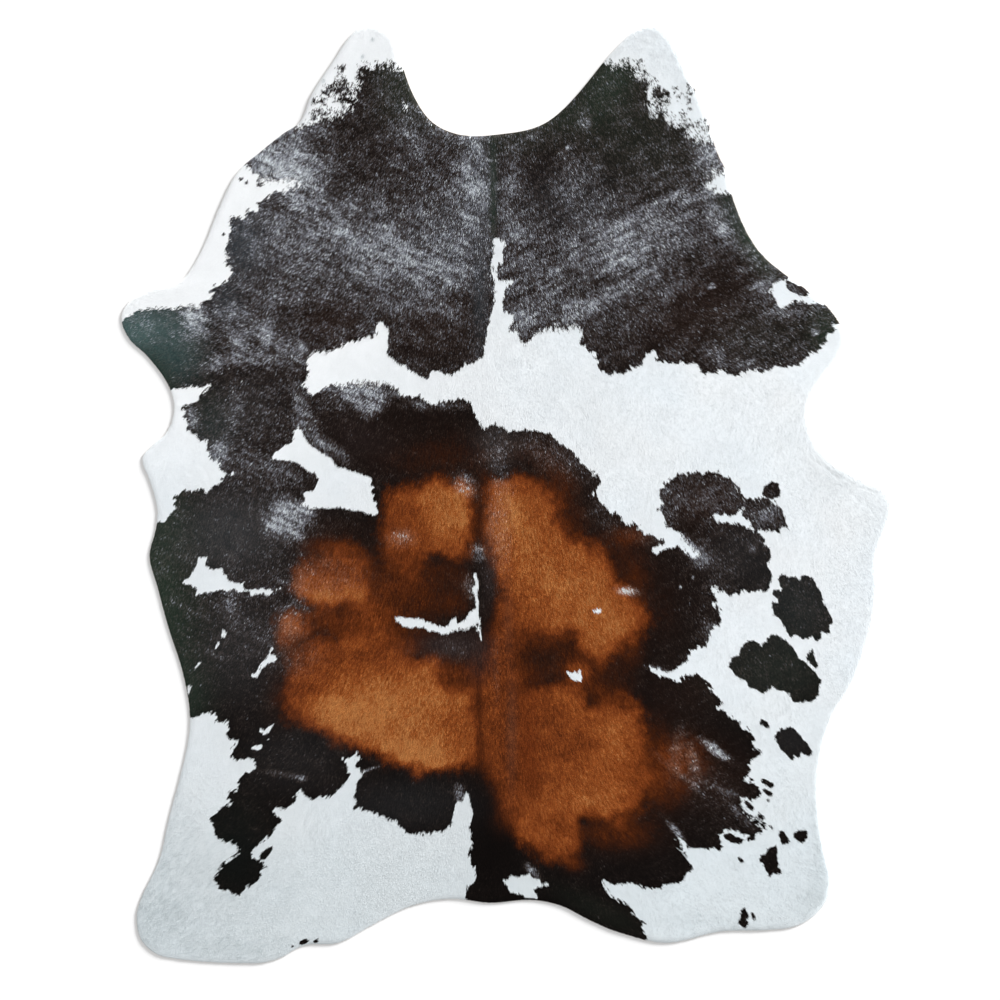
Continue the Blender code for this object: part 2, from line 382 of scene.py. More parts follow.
# %% The left flank
LEFT_FLANK = [
    # through the dark, then down the belly side
    (-58, 34), (-66, 29), (-70, 25), (-71, 24), (-72.5, 22.5), (-73.5, 21.5), (-75.5, 20.9), (-76, 20),
    (-75.6, 19), (-76, 18), (-75.1, 17.3), (-74.8, 16), (-75, 14.8), (-74, 14.2), (-73, 13.2),
    (-71.5, 12.5), (-70.5, 12), (-70.2, 10.5), (-69.8, 9), (-69.3, 8), (-67.9, 7.5), (-67.3, 6.5),
    (-66.8, 5.3), (-65.5, 5), (-64.3, 4.8), (-66, 4.3), (-67, 3.5), (-67.5, 2.5), (-69, 1.5),
    (-69.5, 0.6), (-70.4, 0.3), (-71.5, 0.9), (-73, 0.7), (-75, 0.7), (-76.5, 0), (-77.6, -0.5),
    (-78.5, -1), (-78, -2), (-78.5, -2.6), (-77.6, -3.5), (-78.5, -4.4), (-78.6, -5.1), (-80, -6),
    (-81.5, -7.2), (-84.5, -7.5),
    # past the left edge
    (-88, -15), (-85, -28), (-81, -42), (-78, -53),
    # down to the lowest spot
    (-74.4, -52.9), (-73.3, -52.5), (-72.3, -52), (-71, -51.4), (-70, -51.9), (-68.8, -51.7),
    (-68.2, -52.5), (-68.3, -53.2), (-67.8, -53.8), (-66.8, -53.9), (-65.3, -53.7), (-66, -54.8),
    (-65.2, -55.5), (-65.7, -56.1), (-65.3, -57.5), (-64, -57.8), (-63.2, -57.8), (-63.5, -58.7),
    (-64.3, -59.6), (-64.5, -60.5), (-65, -61.7), (-64, -62.3), (-62.8, -62.8), (-61.8, -62.9),
    (-60.5, -62.2), (-59.5, -62.7), (-59.2, -63.7), (-59, -64.8), (-60.5, -65.5), (-62, -66.3),
    (-62.8, -67.5), (-63.5, -69.5), (-65, -70), (-65.3, -71.5), (-64.8, -73), (-65.5, -73.4),
    (-67, -74), (-68.5, -75), (-69.5, -76.5), (-69, -78), (-68.7, -79.3), (-68.5, -80.5),
    (-67, -81.3), (-65.5, -81.8), (-64, -82.3), (-63.3, -83), (-63.3, -84.3), (-64.5, -85),
    (-65, -86), (-66.5, -87.3), (-67.7, -88.5), (-68.5, -90), (-68.2, -91.3), (-67.5, -92.5),
    (-66.5, -93), (-65.5, -93.3), (-64.2, -93.8), (-63, -94.2), (-61.5, -93.3), (-60.5, -92.3),
    (-59, -91.5), (-58, -90.3), (-57.5, -89), (-57.2, -87.5), (-57.4, -86.3), (-58.5, -86.4),
    (-59, -85.5), (-60.2, -85.2), (-59.7, -84.2), (-59.2, -83.5), (-58.3, -83.3), (-57.8, -82.3),
    (-56.8, -81.3), (-55.5, -80.7), (-54.8, -80), (-54.5, -78.5), (-53.5, -77.3), (-53.3, -76.3),
    (-54.5, -75.8), (-54.3, -74.3), (-53, -74.1), (-52, -74.3), (-50.8, -73.5), (-50, -72),
    (-49.3, -70.5), (-48.3, -70), (-47, -70.7), (-45.7, -71.8), (-45, -71.5), (-43.5, -71.5),
    (-42, -71.2), (-40.5, -70.6), (-39.3, -69.7), (-38.5, -68.8), (-37.8, -67.8), (-37, -66.5),
    (-37, -65.2), (-37.3, -64), (-38, -63), (-38.3, -62.3), (-37, -62), (-35.2, -60.5),
    # back up through the dark
    (-31, -56), (-28, -20), (-30, 8), (-42, 18), (-50, 29),
]
print("left flank:", len(LEFT_FLANK), "places")

# %% The saddle, over the back and rump
SADDLE = [
    # its upper edge, below the white band
    (-47, 22.8), (-45.6, 23.2), (-44.5, 24), (-43.5, 24.9), (-42, 25.3), (-40, 25.5), (-38.5, 25.3),
    (-36, 25.8), (-34, 26.1), (-32, 25.6), (-30, 26), (-28, 25.7), (-26.5, 25), (-25.1, 23.6),
    (-24.3, 22.9), (-22.5, 22.7), (-20.5, 22.5), (-19, 22), (-17.6, 21), (-16.5, 20.8), (-15, 21.8),
    (-13, 22), (-11, 22.5), (-9.5, 21.8), (-8.5, 20.8), (-8, 19.5), (-7, 18.8), (-6.8, 17.5),
    (-6.2, 16), (-5.5, 15.2), (-4, 15.9), (-3, 16.3), (-1.5, 15.8), (-0.5, 15), (0.5, 14.5),
    (2, 14.7), (4.2, 15.1), (5.5, 14.8), (7, 14.5), (8.5, 14.3), (10, 14.1),
    # down its right side
    (10.8, 13.5), (11.5, 12.6), (12.5, 12), (13.5, 11.1), (14.5, 10.5), (15.3, 10.1), (16, 9),
    (17, 8.3), (17.8, 7), (18.5, 6.2), (19.5, 5.5), (20.4, 5.1), (20.3, 4.5), (21.3, 3.9),
    (22.1, 2.8), (21.8, 1.8), (21, 1), (20.6, 0), (21.3, -1), (22, -2), (23.3, -3), (24.3, -3.7),
    (24.9, -4.5), (25.5, -5), (26.8, -5.7), (27.3, -6.6), (28, -7.2), (29.5, -7.3), (31, -7.5),
    (31.1, -8.5), (32.3, -9.3), (34, -9.7), (35, -10.1), (35.6, -10.8), (37, -11.2), (36.5, -12),
    (35.5, -12.6), (34, -13.1), (35, -14.1), (35.8, -13.6), (36.8, -13), (38.5, -12.8), (40, -12.6),
    (41, -13), (42, -12.8), (42.6, -14), (44, -14.8), (46, -15.5), (53, -19),
    (48.3, -22.2), (49, -23.8), (49.3, -25), (49, -26), (50, -27.5), (50, -29), (50.3, -30),
    (49.8, -31), (49, -31.3), (48.5, -32), (48, -33), (47.5, -34), (47.5, -35), (46.5, -35.7),
    (45, -36.2), (43.5, -37), (42.8, -38), (42.3, -39.3), (41, -40), (40, -41), (39, -41.6),
    (37.5, -41.8), (36, -41.5), (34.5, -41.1), (33.4, -40.8), (34.8, -42), (36, -42.8),
    (37.5, -43.3), (39, -43.8), (40.4, -44.1), (40.6, -42.9), (42, -43), (43.5, -42.7),
    (45.3, -42.8), (46.4, -43.3), (47, -44.3), (47.8, -45), (48.3, -46), (49, -47), (49.6, -48),
    (50.2, -49.3), (49.6, -50.2), (50.5, -51), (51.5, -52), (53, -52.6), (54.5, -53.4),
    (55.5, -54.8), (57, -56), (58.1, -57.5), (57.7, -58.7), (58.4, -60.2), (59.6, -61), (58.5, -62),
    (57.5, -63), (56.6, -63.9), (57.1, -65), (56.3, -66.5), (56.1, -67.4), (57.6, -67.9),
    (59, -68.5), (59.7, -70.1), (59, -71.1), (57.8, -72.2), (56.5, -71.6), (55.2, -71.4),
    (55.3, -73), (56.2, -74.9), (57.5, -75.8), (58.5, -77), (59.5, -77.7), (60.3, -77),
    (60.8, -78.2), (60.3, -79.4), (59, -80), (57.8, -80.5), (56, -80.3), (54.8, -79.7),
    (53.5, -79.3), (52, -79.2), (51, -79.5), (50.3, -80.5), (50.3, -82), (50.5, -83.3), (49.6, -84),
    (48.5, -83.5), (47, -83.5), (45, -83.2), (43.5, -83), (42.8, -82.9), (42, -82), (40.8, -81.4),
    (40.2, -81.5), (40.7, -82.7), (41.4, -84), (42, -85), (42.8, -86.5), (43.3, -88), (42.5, -89.3),
    (41.8, -90.5), (40.5, -91.5), (39, -91.8), (37.5, -91.8), (36, -92.8), (34.5, -92.4),
    (33, -92.7), (31.5, -92.4), (30, -91.7), (28.5, -91.3), (26.5, -91.8), (25, -91.8),
    (23.8, -91.5), (22.8, -91),
    # the last strip of the rump, to the lower edge
    (23.3, -92.8), (24.3, -94.5), (25.5, -95.2), (27, -96), (28.5, -96.5), (29.5, -97.5),
    (30, -98.6), (31, -99.8), (32.3, -100.6), (32, -102), (32.4, -103.5), (33, -108), (20, -106),
    (8, -100), (-4, -99), (-10, -98.5), (-9.5, -95.3), (-9.3, -93.6), (-8.7, -92.3), (-7.5, -91.3),
    (-7, -90.5), (-7.3, -89), (-8, -87), (-8.8, -85), (-8.5, -83), (-8, -81.5), (-8.2, -79),
    (-8.3, -77), (-8, -75), (-8.2, -73), (-8.6, -71.2), (-9.2, -70), (-9.6, -71), (-10.5, -72),
    (-12, -72.5), (-12.2, -74), (-12.5, -76), (-13, -77.5), (-14, -78.5), (-15, -79.2),
    (-16.5, -79.4), (-18, -79.9), (-19.5, -79.8), (-21, -80.1), (-22.5, -79.8), (-24, -79),
    (-25, -78.2), (-25.3, -77), (-26.8, -77), (-28, -76.7), (-29, -76), (-30.5, -75.5),
    (-31.5, -74.8), (-33, -74.4), (-34.5, -73.9), (-35.7, -74.2), (-35.5, -72.5), (-35.8, -71),
    (-35.3, -70), (-35, -68.5), (-34.2, -67), (-33.7, -65.2), (-35.3, -64.5), (-35.3, -63),
    (-34, -62.2), (-35.2, -61.5), (-35.2, -60.5),
    # back up through the dark, past the star
    (-42, -54), (-54, -30), (-60, -4), (-60, 14), (-52, 20),
]
print("saddle:", len(SADDLE), "places")

# %% The patch on the right side
RIGHT_SIDE = [
    (35.4, 0.5), (36.4, 1), (37.3, 2.3), (38, 2.6), (38.2, 3.4), (39.5, 3.6), (40.5, 4.4), (42, 4.6),
    (44, 5), (46, 4.9), (48, 5.1), (49.5, 5.3), (50, 4.6), (51, 4.3), (52.5, 3.5), (53.5, 2.8),
    (54, 1.5), (54.5, 0.6), (55, -0.3), (55.6, -1), (56.6, -1.3), (57.5, -1.2), (59, -1.3),
    (59.8, -0.7), (61, -1), (62, -1.6), (63, -2), (64, -2.8), (65, -3.6), (65.3, -4.6), (65.7, -6),
    (66, -7.2), (66.4, -8.5), (65.5, -7.9), (64.5, -8.5), (63.5, -9), (62.5, -9.2), (61, -8.7),
    (59.5, -8.5), (58, -8.2), (57.3, -7.5), (57, -6.5), (56, -5.8), (55.5, -4.8), (55.3, -3.6),
    (54.8, -4.3), (54, -4.8), (52.5, -5.3), (51, -5), (49.8, -4.8), (48.3, -5.4), (49.5, -6.4),
    (51, -6.8), (53, -7), (55, -7.2), (56.5, -8), (58, -8.9), (60, -9.9), (61, -10.8), (61, -12),
    (61.8, -12.6), (62, -14), (62.5, -15), (61.8, -16), (61.3, -17), (61.7, -18), (62.2, -19),
    (61.9, -20.8), (61.3, -22.5), (61, -23.2), (60, -23), (58.5, -23), (57.5, -23.2), (56, -23),
    (55, -23.3), (54, -23.5), (52.8, -24), (51.5, -23.5), (50, -22.8), (48.3, -22.2), (44, -24),
    (41, -18), (44.9, -14.6), (44.5, -13.7), (43.5, -12.6), (42.5, -11.6), (41.4, -10.6),
    (41, -9.4), (39.5, -8.6), (38, -7.8), (37.3, -6.8), (37, -5.6), (36.3, -4.6), (35.4, -3.8),
    (36, -3), (36.8, -2), (36.2, -1.4), (36, -0.2),
]
print("patch on the right side:", len(RIGHT_SIDE), "places")

# %% White inside the dark
WHITE_MARKS = {
    "star": [
        (-48.8, 15.8), (-48, 14.6), (-47.5, 13.5), (-46.8, 12), (-45.6, 10.8), (-44, 9.9), (-42.5, 9),
        (-41.5, 8.5), (-40.5, 7.3), (-39.8, 6.3), (-38, 5.8), (-36.5, 5.3), (-35, 5), (-33.8, 4.2),
        (-32.5, 3.8), (-31.5, 2.8), (-31.8, 2), (-31, 1.2), (-31.8, 0.5), (-31.2, -0.5),
        (-31.5, -1.5), (-30.5, -2.3), (-30.7, -3.5), (-30, -4.2), (-31, -5), (-32, -5),
        (-33.2, -4.8), (-34.3, -4), (-36, -4), (-38, -3.7), (-40, -3.3), (-42, -3.5), (-44, -3.6),
        (-45.5, -3.7), (-47, -3.3), (-47.8, -2.5), (-47.2, -1.5), (-47.7, -0.5), (-47.3, 0.2),
        (-45.5, 0.5), (-44.8, 1.5), (-44.4, 3), (-44.8, 4.5), (-46, 5), (-47.3, 5.5), (-48, 6.3),
        (-49, 7), (-50.5, 7.5), (-52.5, 7.8), (-54, 8), (-55, 8.3), (-54.5, 9.5), (-53, 10.5),
        (-51.5, 11.5), (-50.3, 12.2), (-50, 13.5), (-49.5, 15),
    ],
    "small star": [
        (-72.4, -14.9), (-71.8, -15.2), (-70.3, -14.8), (-71, -16.5), (-70.3, -17.3), (-69.5, -17.8),
        (-68, -17.8), (-66.8, -17.5), (-66.3, -18.8), (-65.5, -20), (-65, -20.8), (-63, -21),
        (-61.5, -20.8), (-61.8, -21.8), (-61.5, -22.5), (-60, -22.6), (-58.5, -22.3), (-57, -22.5),
        (-55, -22.7), (-53.2, -22.2), (-54.8, -23), (-55.8, -24), (-57.5, -23.6), (-59, -23.7),
        (-60, -24), (-60.5, -23.1), (-62.5, -23.2), (-64, -22.7), (-66, -22.8), (-68, -22.8),
        (-69.5, -23.3), (-71, -23.5), (-72.8, -24), (-72.8, -23), (-73.5, -22), (-74.5, -21.5),
        (-76, -20.8), (-74.5, -19.8), (-73.5, -18.3), (-73, -17),
    ],
    "right foreleg": [
        (66.3, 50.8), (65, 50.2), (63.5, 49.6), (62.4, 48.5), (62.3, 47), (63, 46), (63.6, 45),
        (64, 44), (64.8, 43.5), (66, 44.3), (67.5, 45), (69.5, 45.1), (71, 44.5), (73.5, 44.6),
        (75.2, 44.5), (78, 47), (73, 51), (68, 53.5),
    ],
    "edge of the neck, right": [
        (48.2, 75.8), (48.8, 74.8), (47.6, 73.4), (47, 72), (47.8, 71.1), (49.5, 70.5), (51.5, 70.5),
        (55, 70.2), (55, 75), (51.5, 76), (49.8, 75.2),
    ],
    "fork on the back": [
        (-26.2, -29.2), (-25, -28.9), (-23, -29.3), (-20, -29.7), (-18, -30.2), (-16.5, -30.8),
        (-15, -31.4), (-13.8, -31), (-13, -30), (-12, -29.3), (-11.8, -30.2), (-10.3, -30.1),
        (-9.5, -29), (-8.3, -28), (-7.4, -27), (-7.2, -25.3), (-7.4, -24), (-8, -22.6),
        (-7.4, -21.2), (-7.8, -19.6), (-7.5, -18.5), (-7, -20), (-6.7, -21.4), (-6.7, -24),
        (-6.3, -27), (-6.4, -28.5), (-6.3, -31), (-5.9, -33), (-5.8, -34.8), (-6.5, -33),
        (-7, -31), (-8, -31.5), (-9, -32), (-10, -32.8), (-10.5, -32), (-12, -32.2), (-13.5, -32.7),
        (-15, -33), (-16.5, -32.7), (-18, -32.3), (-20, -31.5), (-21.5, -31.5), (-23, -31.7),
        (-24.5, -31), (-25.5, -30.3),
    ],
    "slash on the left flank": [
        (-54.8, -36.2), (-55.3, -37.5), (-55.1, -38), (-54.2, -38.3), (-53.9, -39.3), (-55.5, -39.8),
        (-57, -41), (-58, -42.3), (-58.5, -43.2), (-60, -42.8), (-58.5, -41.5), (-57.3, -39.8),
        (-56.3, -38.2), (-55.4, -36.8),
    ],
    "nick above the slash": [(-66.6, -31.8), (-65.7, -32.8), (-66.4, -33.7), (-67.6, -34.4), (-67, -33.2)],
    "nick beside the slash": [(-67.2, -34.6), (-67.6, -35.8), (-68.4, -37), (-68.2, -35.6)],
    "nick towards the edge": [(-71.6, -39.2), (-72.3, -40.2), (-73.2, -41), (-72.4, -39.8)],
    "nick on the edge": [(-74.9, -45), (-74.2, -45.4), (-74.3, -46.8), (-75, -47.2)],
    "upper flash of the flank": [
        (-54.6, -54.2), (-55.5, -54.7), (-56.5, -55.4), (-57.8, -55.5), (-57.5, -56.4), (-56.2, -56.3),
        (-55.3, -55.3),
    ],
    "lower flash of the flank": [
        (-57.2, -59), (-58.5, -59.2), (-59.7, -59.8), (-58.6, -60.3), (-57.7, -59.9),
    ],
    "dot of the flank": [(-56.4, -57.5), (-55.8, -57.4), (-55.5, -57.9), (-56.2, -58.2)],
    "wedge of the rump": [
        (-1, -91), (0.6, -90.6), (1.2, -89.8), (3, -90), (4.7, -89.6), (5.6, -89.3), (6, -90),
        (7.3, -90.7), (8.5, -91.5), (10, -91.8), (8, -92.3), (6.8, -92.5), (6.5, -93.3),
        (7.2, -94.4), (7.2, -95.1), (6, -95), (4.5, -94.9), (3.5, -94.3), (2, -93.8), (0.8, -93.3),
        (0.2, -92.1),
    ],
    "fleck in the tan": [
        (20.1, -27.5), (21.2, -27.3), (21.9, -27.4), (22.6, -26.9), (22.2, -27.8), (21.8, -28.2),
        (21, -28.2), (20.5, -27.9),
    ],
    "fleck below the tan": [
        (13.8, -41.7), (14.6, -42), (15.6, -41.9), (16.6, -42), (17.1, -41.5), (17.7, -41.5), (17.5, -42.4),
        (17.6, -43.6), (17.3, -44.2), (16.2, -43.9), (15.2, -43.5), (14.7, -42.7),
    ],
    "fleck of the neck": [(-24.2, 91.5), (-23.4, 91.3), (-23.2, 90.4), (-24, 90.4)],
}
print(len(WHITE_MARKS), "white marks")

# %% Dark on the white
DARK_SPOTS = {
    "island of the right foreleg": [
        (66, 49.8), (67.5, 49.2), (69, 48.6), (70.3, 47.9), (71.1, 47.1), (70.2, 46.4), (69, 46.2),
        (67.6, 46.9), (66.5, 47.8), (65.9, 49),
    ],
    "upper spot": [
        (64, -19.7), (65.2, -19.2), (66.3, -19.8), (67.8, -19.8), (68.8, -20.3), (69.5, -19.3),
        (70.5, -19.7), (72, -20.2), (72.8, -21.8), (73.8, -23.5), (74.3, -25.5), (75, -27),
        (75.8, -28.5), (76.4, -30), (75.8, -31.3), (75.8, -32.8), (74, -32.6), (73.5, -34),
        (72.5, -34.6), (71.8, -33.5), (70.5, -34.2), (69, -34.1), (68, -33.3), (66.7, -33.4),
        (65.8, -32), (65, -30.5), (63.8, -29.2), (62.7, -28), (62.4, -25.6), (64, -25.8),
        (63.8, -24.6), (62.6, -23.4), (63.5, -22.7), (64.8, -22.8), (64.3, -21),
    ],
    "middle spot": [
        (53, -38.5), (54, -38.5), (54.8, -38), (55, -36.5), (56, -35.5), (57, -34.7), (58.5, -34.7),
        (60, -35.7), (61, -35), (61.3, -34), (62.5, -33.4), (64, -33.7), (65.5, -34.6), (67, -36),
        (68, -37.5), (69, -39), (70.5, -40), (71.5, -41), (72.7, -42), (73.2, -43), (73.9, -44),
        (73.3, -45), (73.4, -46.8), (72.5, -48), (71.5, -48.7), (69.8, -48.9), (68, -49.1),
        (66.8, -47.8), (65.7, -46.5), (64, -46.3), (62.5, -45.3), (61.5, -46.2), (60.3, -46.7),
        (58.8, -46), (57, -45.3), (56, -44), (54.5, -43), (53.3, -42), (52.2, -40.5), (52.8, -39.3),
    ],
    "beside the middle spot": [
        (70.7, -38), (71.8, -36.9), (72.3, -38), (72.6, -39.3), (73.1, -40.8), (71.8, -40.3),
        (71.2, -39.4), (70.5, -38.8),
    ],
    "small round spot": [
        (60.1, 0), (60.3, 1.3), (61.5, 2.3), (62.5, 2.5), (63.7, 2.2), (64.2, 1), (64.4, 0),
        (63.5, -0.8), (62.5, -1.3), (61, -0.9),
    ],
    "haunch spot": [
        (65, -55.3), (66.3, -55.1), (67.8, -55.6), (68.7, -56.5), (70, -58), (71, -59.5),
        (71.6, -60.5), (71.3, -61.6), (70.3, -61.3), (69.3, -60.8), (68.5, -61.9), (67.5, -61.3),
        (67.3, -62.6), (66.2, -62), (65.3, -60.5), (64.5, -60), (64, -58.5), (62.9, -57.2),
        (63.6, -56),
    ],
    "hock spot": [
        (62.4, -83.1), (63.4, -82.7), (63.6, -84.5), (63.3, -86), (63.8, -87.3), (64.6, -88.5),
        (64, -89.4), (62.8, -89), (62, -89.8), (61, -88.5), (60.2, -87), (59.4, -86.3), (60, -85.3),
        (61, -84),
    ],
    "above the hock spot": [
        (64, -79.6), (65, -79.4), (65.7, -80.8), (66.3, -81.9), (65, -82.3), (64.3, -81),
    ],
    "beside the hock spot": [
        (67.6, -79.8), (69, -79.3), (70.3, -79.5), (70.4, -81), (69.3, -82.1), (68.1, -81.3),
    ],
    "below the haunch": [
        (51.2, -80.4), (52.5, -79.9), (53.5, -80.4), (55.4, -81.3), (54.8, -82.1), (53, -81.9),
    ],
    "speck of the left leg": [
        (-58.1, -85.1), (-57, -84), (-56, -83.2), (-55, -83), (-55.3, -84), (-56.2, -85.4),
        (-57.3, -86),
    ],
    "lower clump": [(55.9, -97.5), (56.9, -99), (56.3, -99.9), (55.3, -99.9), (55.2, -98.6)],
    "lowest clump": [(54.9, -99.7), (56, -100.2), (56.6, -101.3), (55.8, -102.1), (54.6, -101)],
    "clump of the right lobe": [
        (34.8, 95.2), (36, 95.1), (37.3, 95), (38.1, 93.6), (37.8, 92.2), (36.8, 91.4), (36.3, 90),
        (35.2, 89.2), (34.8, 90.6), (35, 92.4), (34.6, 93.8),
    ],
    "clump of the left lobe": [
        (-40.2, 96.2), (-38.6, 97.2), (-37.4, 96), (-36.8, 94.2), (-36.6, 91.6), (-38.4, 91.3),
        (-39.6, 92.2), (-39.8, 93.8), (-41, 94.6),
    ],
}
SPECKS = [  # small ones are ovals: (x, y, half-length, half-width, turn in degrees)
    (-38.9, 99.8, 0.9, 0.7, 20), (-42.2, 94.2, 1.0, 0.5, 30), (-43, 92.3, 0.6, 0.5, 40),
    (-45.2, 92, 0.5, 0.6, 0), (-34.6, 97.6, 0.7, 0.5, 60), (-44.6, 89.6, 0.5, 0.4, 0),
    (32.9, 98.5, 0.45, 0.35, 60), (34.6, 97.2, 0.3, 0.25, 0), (41.1, 93.4, 0.3, 0.2, 40),
    (42.2, 92.7, 0.45, 0.2, -40), (42.9, 92.2, 0.4, 0.25, -20), (43.3, 93.8, 0.35, 0.2, 70),
    (43, 95.3, 0.35, 0.3, 0), (44.1, 94.6, 0.3, 0.2, 30), (41.2, 88.9, 0.45, 0.3, -70),
    (43.3, 90.2, 0.3, 0.2, 0), (41.6, 87, 0.5, 0.45, 0), (42.9, 86.6, 0.5, 0.3, 30),
    (43.9, 87.6, 0.35, 0.25, 0), (45.8, 85.5, 0.7, 0.5, 20), (46.6, 87.4, 0.5, 0.4, 0),
    (47.4, 86.2, 0.4, 0.4, 0), (39.6, 94.8, 0.25, 0.2, 0), (60.6, -54.2, 1.2, 0.55, -32),
    (61.5, -68, 1.4, 0.65, -28), (61.3, -70.2, 1.1, 0.5, -30), (61.4, -72.1, 0.3, 0.2, -30),
    (57.6, -67.2, 0.45, 0.2, -20), (57, -73.3, 1.5, 0.45, -42), (59.7, -75.8, 1.1, 0.5, -45),
    (62.1, -78.4, 0.45, 0.25, -30), (57.4, -81, 0.8, 0.5, -10), (55.1, -86.1, 0.8, 0.45, -60),
    (58, -99.5, 0.8, 0.35, -60), (-47.7, -105.3, 0.9, 0.5, 10), (-44.7, -105.2, 0.5, 0.35, 20),
    (-50.2, -106.4, 0.4, 0.3, 0), (-62.5, 73.8, 0.45, 0.3, 45), (-61.2, 73, 0.3, 0.3, 0),
    (-58.1, 72.7, 0.5, 0.4, 0), (-56.4, 73.3, 0.4, 0.3, 0), (-66.4, 60.9, 0.35, 0.3, -30),
]
print(len(DARK_SPOTS), "spots and", len(SPECKS), "specks")

# %% [markdown]
# ## From outlines to charts
#
# A smooth line through each table becomes a chart, and charts are joined as one would join paper: two
# patches by taking the smaller distance, a hole by taking the larger of one and the other turned over.
# The large patches, the white marks and the spots stay apart for now, because large edges are raggeder.

# %% Charts of the markings
STEPS_BETWEEN = 4
OVAL_MARKS = 8


def smooth_line(marks):
    """A closed curve through the marks. Between two marks it is the cubic whose slope at each is half the
    way from the mark before to the mark after."""
    at = np.array(marks, float) * CM
    before, after, second = np.roll(at, 1, axis=0), np.roll(at, -1, axis=0), np.roll(at, -2, axis=0)
    t = np.linspace(0, 1, STEPS_BETWEEN, endpoint=False)[None, :, None]
    leave, arrive = ((after - before) / 2)[:, None], ((second - at) / 2)[:, None]
    start, end = at[:, None], after[:, None]
    line = (2 * t**3 - 3 * t**2 + 1) * start + (t**3 - 2 * t**2 + t) * leave
    line = line + (3 * t**2 - 2 * t**3) * end + (t**3 - t**2) * arrive
    return line.reshape(-1, 2)


def oval(x, y, half_length, half_width, turn):
    """Marks round an ellipse, as a table would give them: the cosine of the way round along its length and
    the sine across it, then turned."""
    angle = np.linspace(0, 2 * np.pi, OVAL_MARKS, endpoint=False)
    along, across = half_length * np.cos(angle), half_width * np.sin(angle)
    c, s = np.cos(np.radians(turn)), np.sin(np.radians(turn))
    return np.stack([x + along * c - across * s, y + along * s + across * c], axis=1)


def joined(shapes):
    """One chart for several shapes: at each place the smallest of their distances."""
    charts = np.full((NET_ROWS, NET_COLUMNS), REACH)
    for marks in shapes:
        np.minimum(charts, chart(smooth_line(marks)), out=charts)
    return charts


patch_chart = joined([CAPE, LEFT_FLANK, SADDLE, RIGHT_SIDE])
white_chart = joined(WHITE_MARKS.values())
spot_chart = joined([*DARK_SPOTS.values(), *(oval(*speck) for speck in SPECKS)])
print("dark patches cover", round((patch_chart < 0).sum() * NET**2, 2), "m2")

# %% [markdown]
# ## Tan
#
# The saddle turns from black to tan, in six areas with a border a few centimetres soft. Inside them the
# tan is brighter or duller in clouds, and round them the black is brown for a while before it is black.
# Such clouds have no outline, so they are soft ovals, which fade from their middles.

# %% Tan areas
TAN_AREAS = {
    "left of the back, upper": [
        (-29, -4), (-27.5, -0.5), (-25.5, 0.8), (-22, 1.8), (-18, 2.4), (-13, 3), (-10, 2.4), (-8, 0.6),
        (-7.8, -5), (-8.2, -10), (-9, -14), (-12, -15.3), (-16, -14.5), (-19, -15.5), (-22, -17.5),
        (-25, -18), (-27.5, -16), (-29.2, -12), (-29.6, -8),
    ],
    "left of the back, middle": [
        (-49.5, -17), (-47, -14.5), (-44, -13.5), (-39, -12.5), (-35, -13.5), (-33, -16), (-33, -20),
        (-33.3, -23.5), (-33.5, -26), (-37, -26.8), (-42, -26.6), (-46, -25.5), (-49.5, -23.5),
    ],
    "left of the back, at the side": [
        (-55, -30), (-52.5, -27.4), (-49, -27.2), (-46.4, -29.6), (-46.6, -33), (-50, -35),
        (-53.4, -33.6),
    ],
    "left of the back, lower": [
        (-51.2, -43), (-49.2, -37.5), (-47, -34.8), (-43, -34), (-38, -32.5), (-33, -32), (-28, -33.5),
        (-24, -36), (-20, -38.3), (-17, -38.8), (-15, -41), (-14.5, -44), (-12, -45), (-8, -44.5),
        (-6.6, -50), (-6.4, -56), (-5.6, -60), (-6, -64), (-10, -65.4), (-15, -66), (-20, -65.6),
        (-25, -64.1), (-28, -62.5), (-31, -60.2), (-35, -59.2), (-39, -57.8), (-43, -55.9),
        (-47, -54.2), (-51, -52.5), (-52.8, -48),
    ],
    "right of the back, upper": [
        (-4.8, 1), (-2, 3.4), (2, 4), (6, 3.6), (9, 1.4), (11.5, -2), (12.5, -5), (15, -9), (19, -11.5),
        (22, -13.5), (24.5, -17), (26, -20), (28.6, -22.4), (31, -24.5), (33, -27.5), (32.6, -31),
        (30.6, -33.8), (27.6, -36.2), (25, -38.5), (22, -39.8), (19.5, -39), (17.5, -36.5), (15.5, -33.5),
        (12, -34), (7, -34.4), (4, -33.8), (0.8, -31), (-1.6, -26), (-2.6, -20), (-3.4, -15),
        (-4.5, -12), (-5, -6),
    ],
    "right of the back, lower": [
        (6, -46.5), (10, -45.3), (14, -44.6), (17, -45.8), (19, -49), (22, -49.5), (26, -48.5),
        (30, -49.5), (32, -52), (33.2, -56), (34.2, -60), (34, -66), (33, -70), (31, -73),
        (28, -76), (24, -76.5), (20, -76.2), (18, -78), (18, -82), (16.5, -85), (12, -86), (8, -85),
        (4.5, -82.5), (2, -79), (0, -76), (-2.5, -72), (-4.5, -68), (-5.6, -62), (-5, -56), (-3, -50),
        (1, -47.5),
    ],
}
tan_chart = joined(TAN_AREAS.values())
print("tan areas cover", round((tan_chart < 0).sum() * NET**2, 2), "m2")

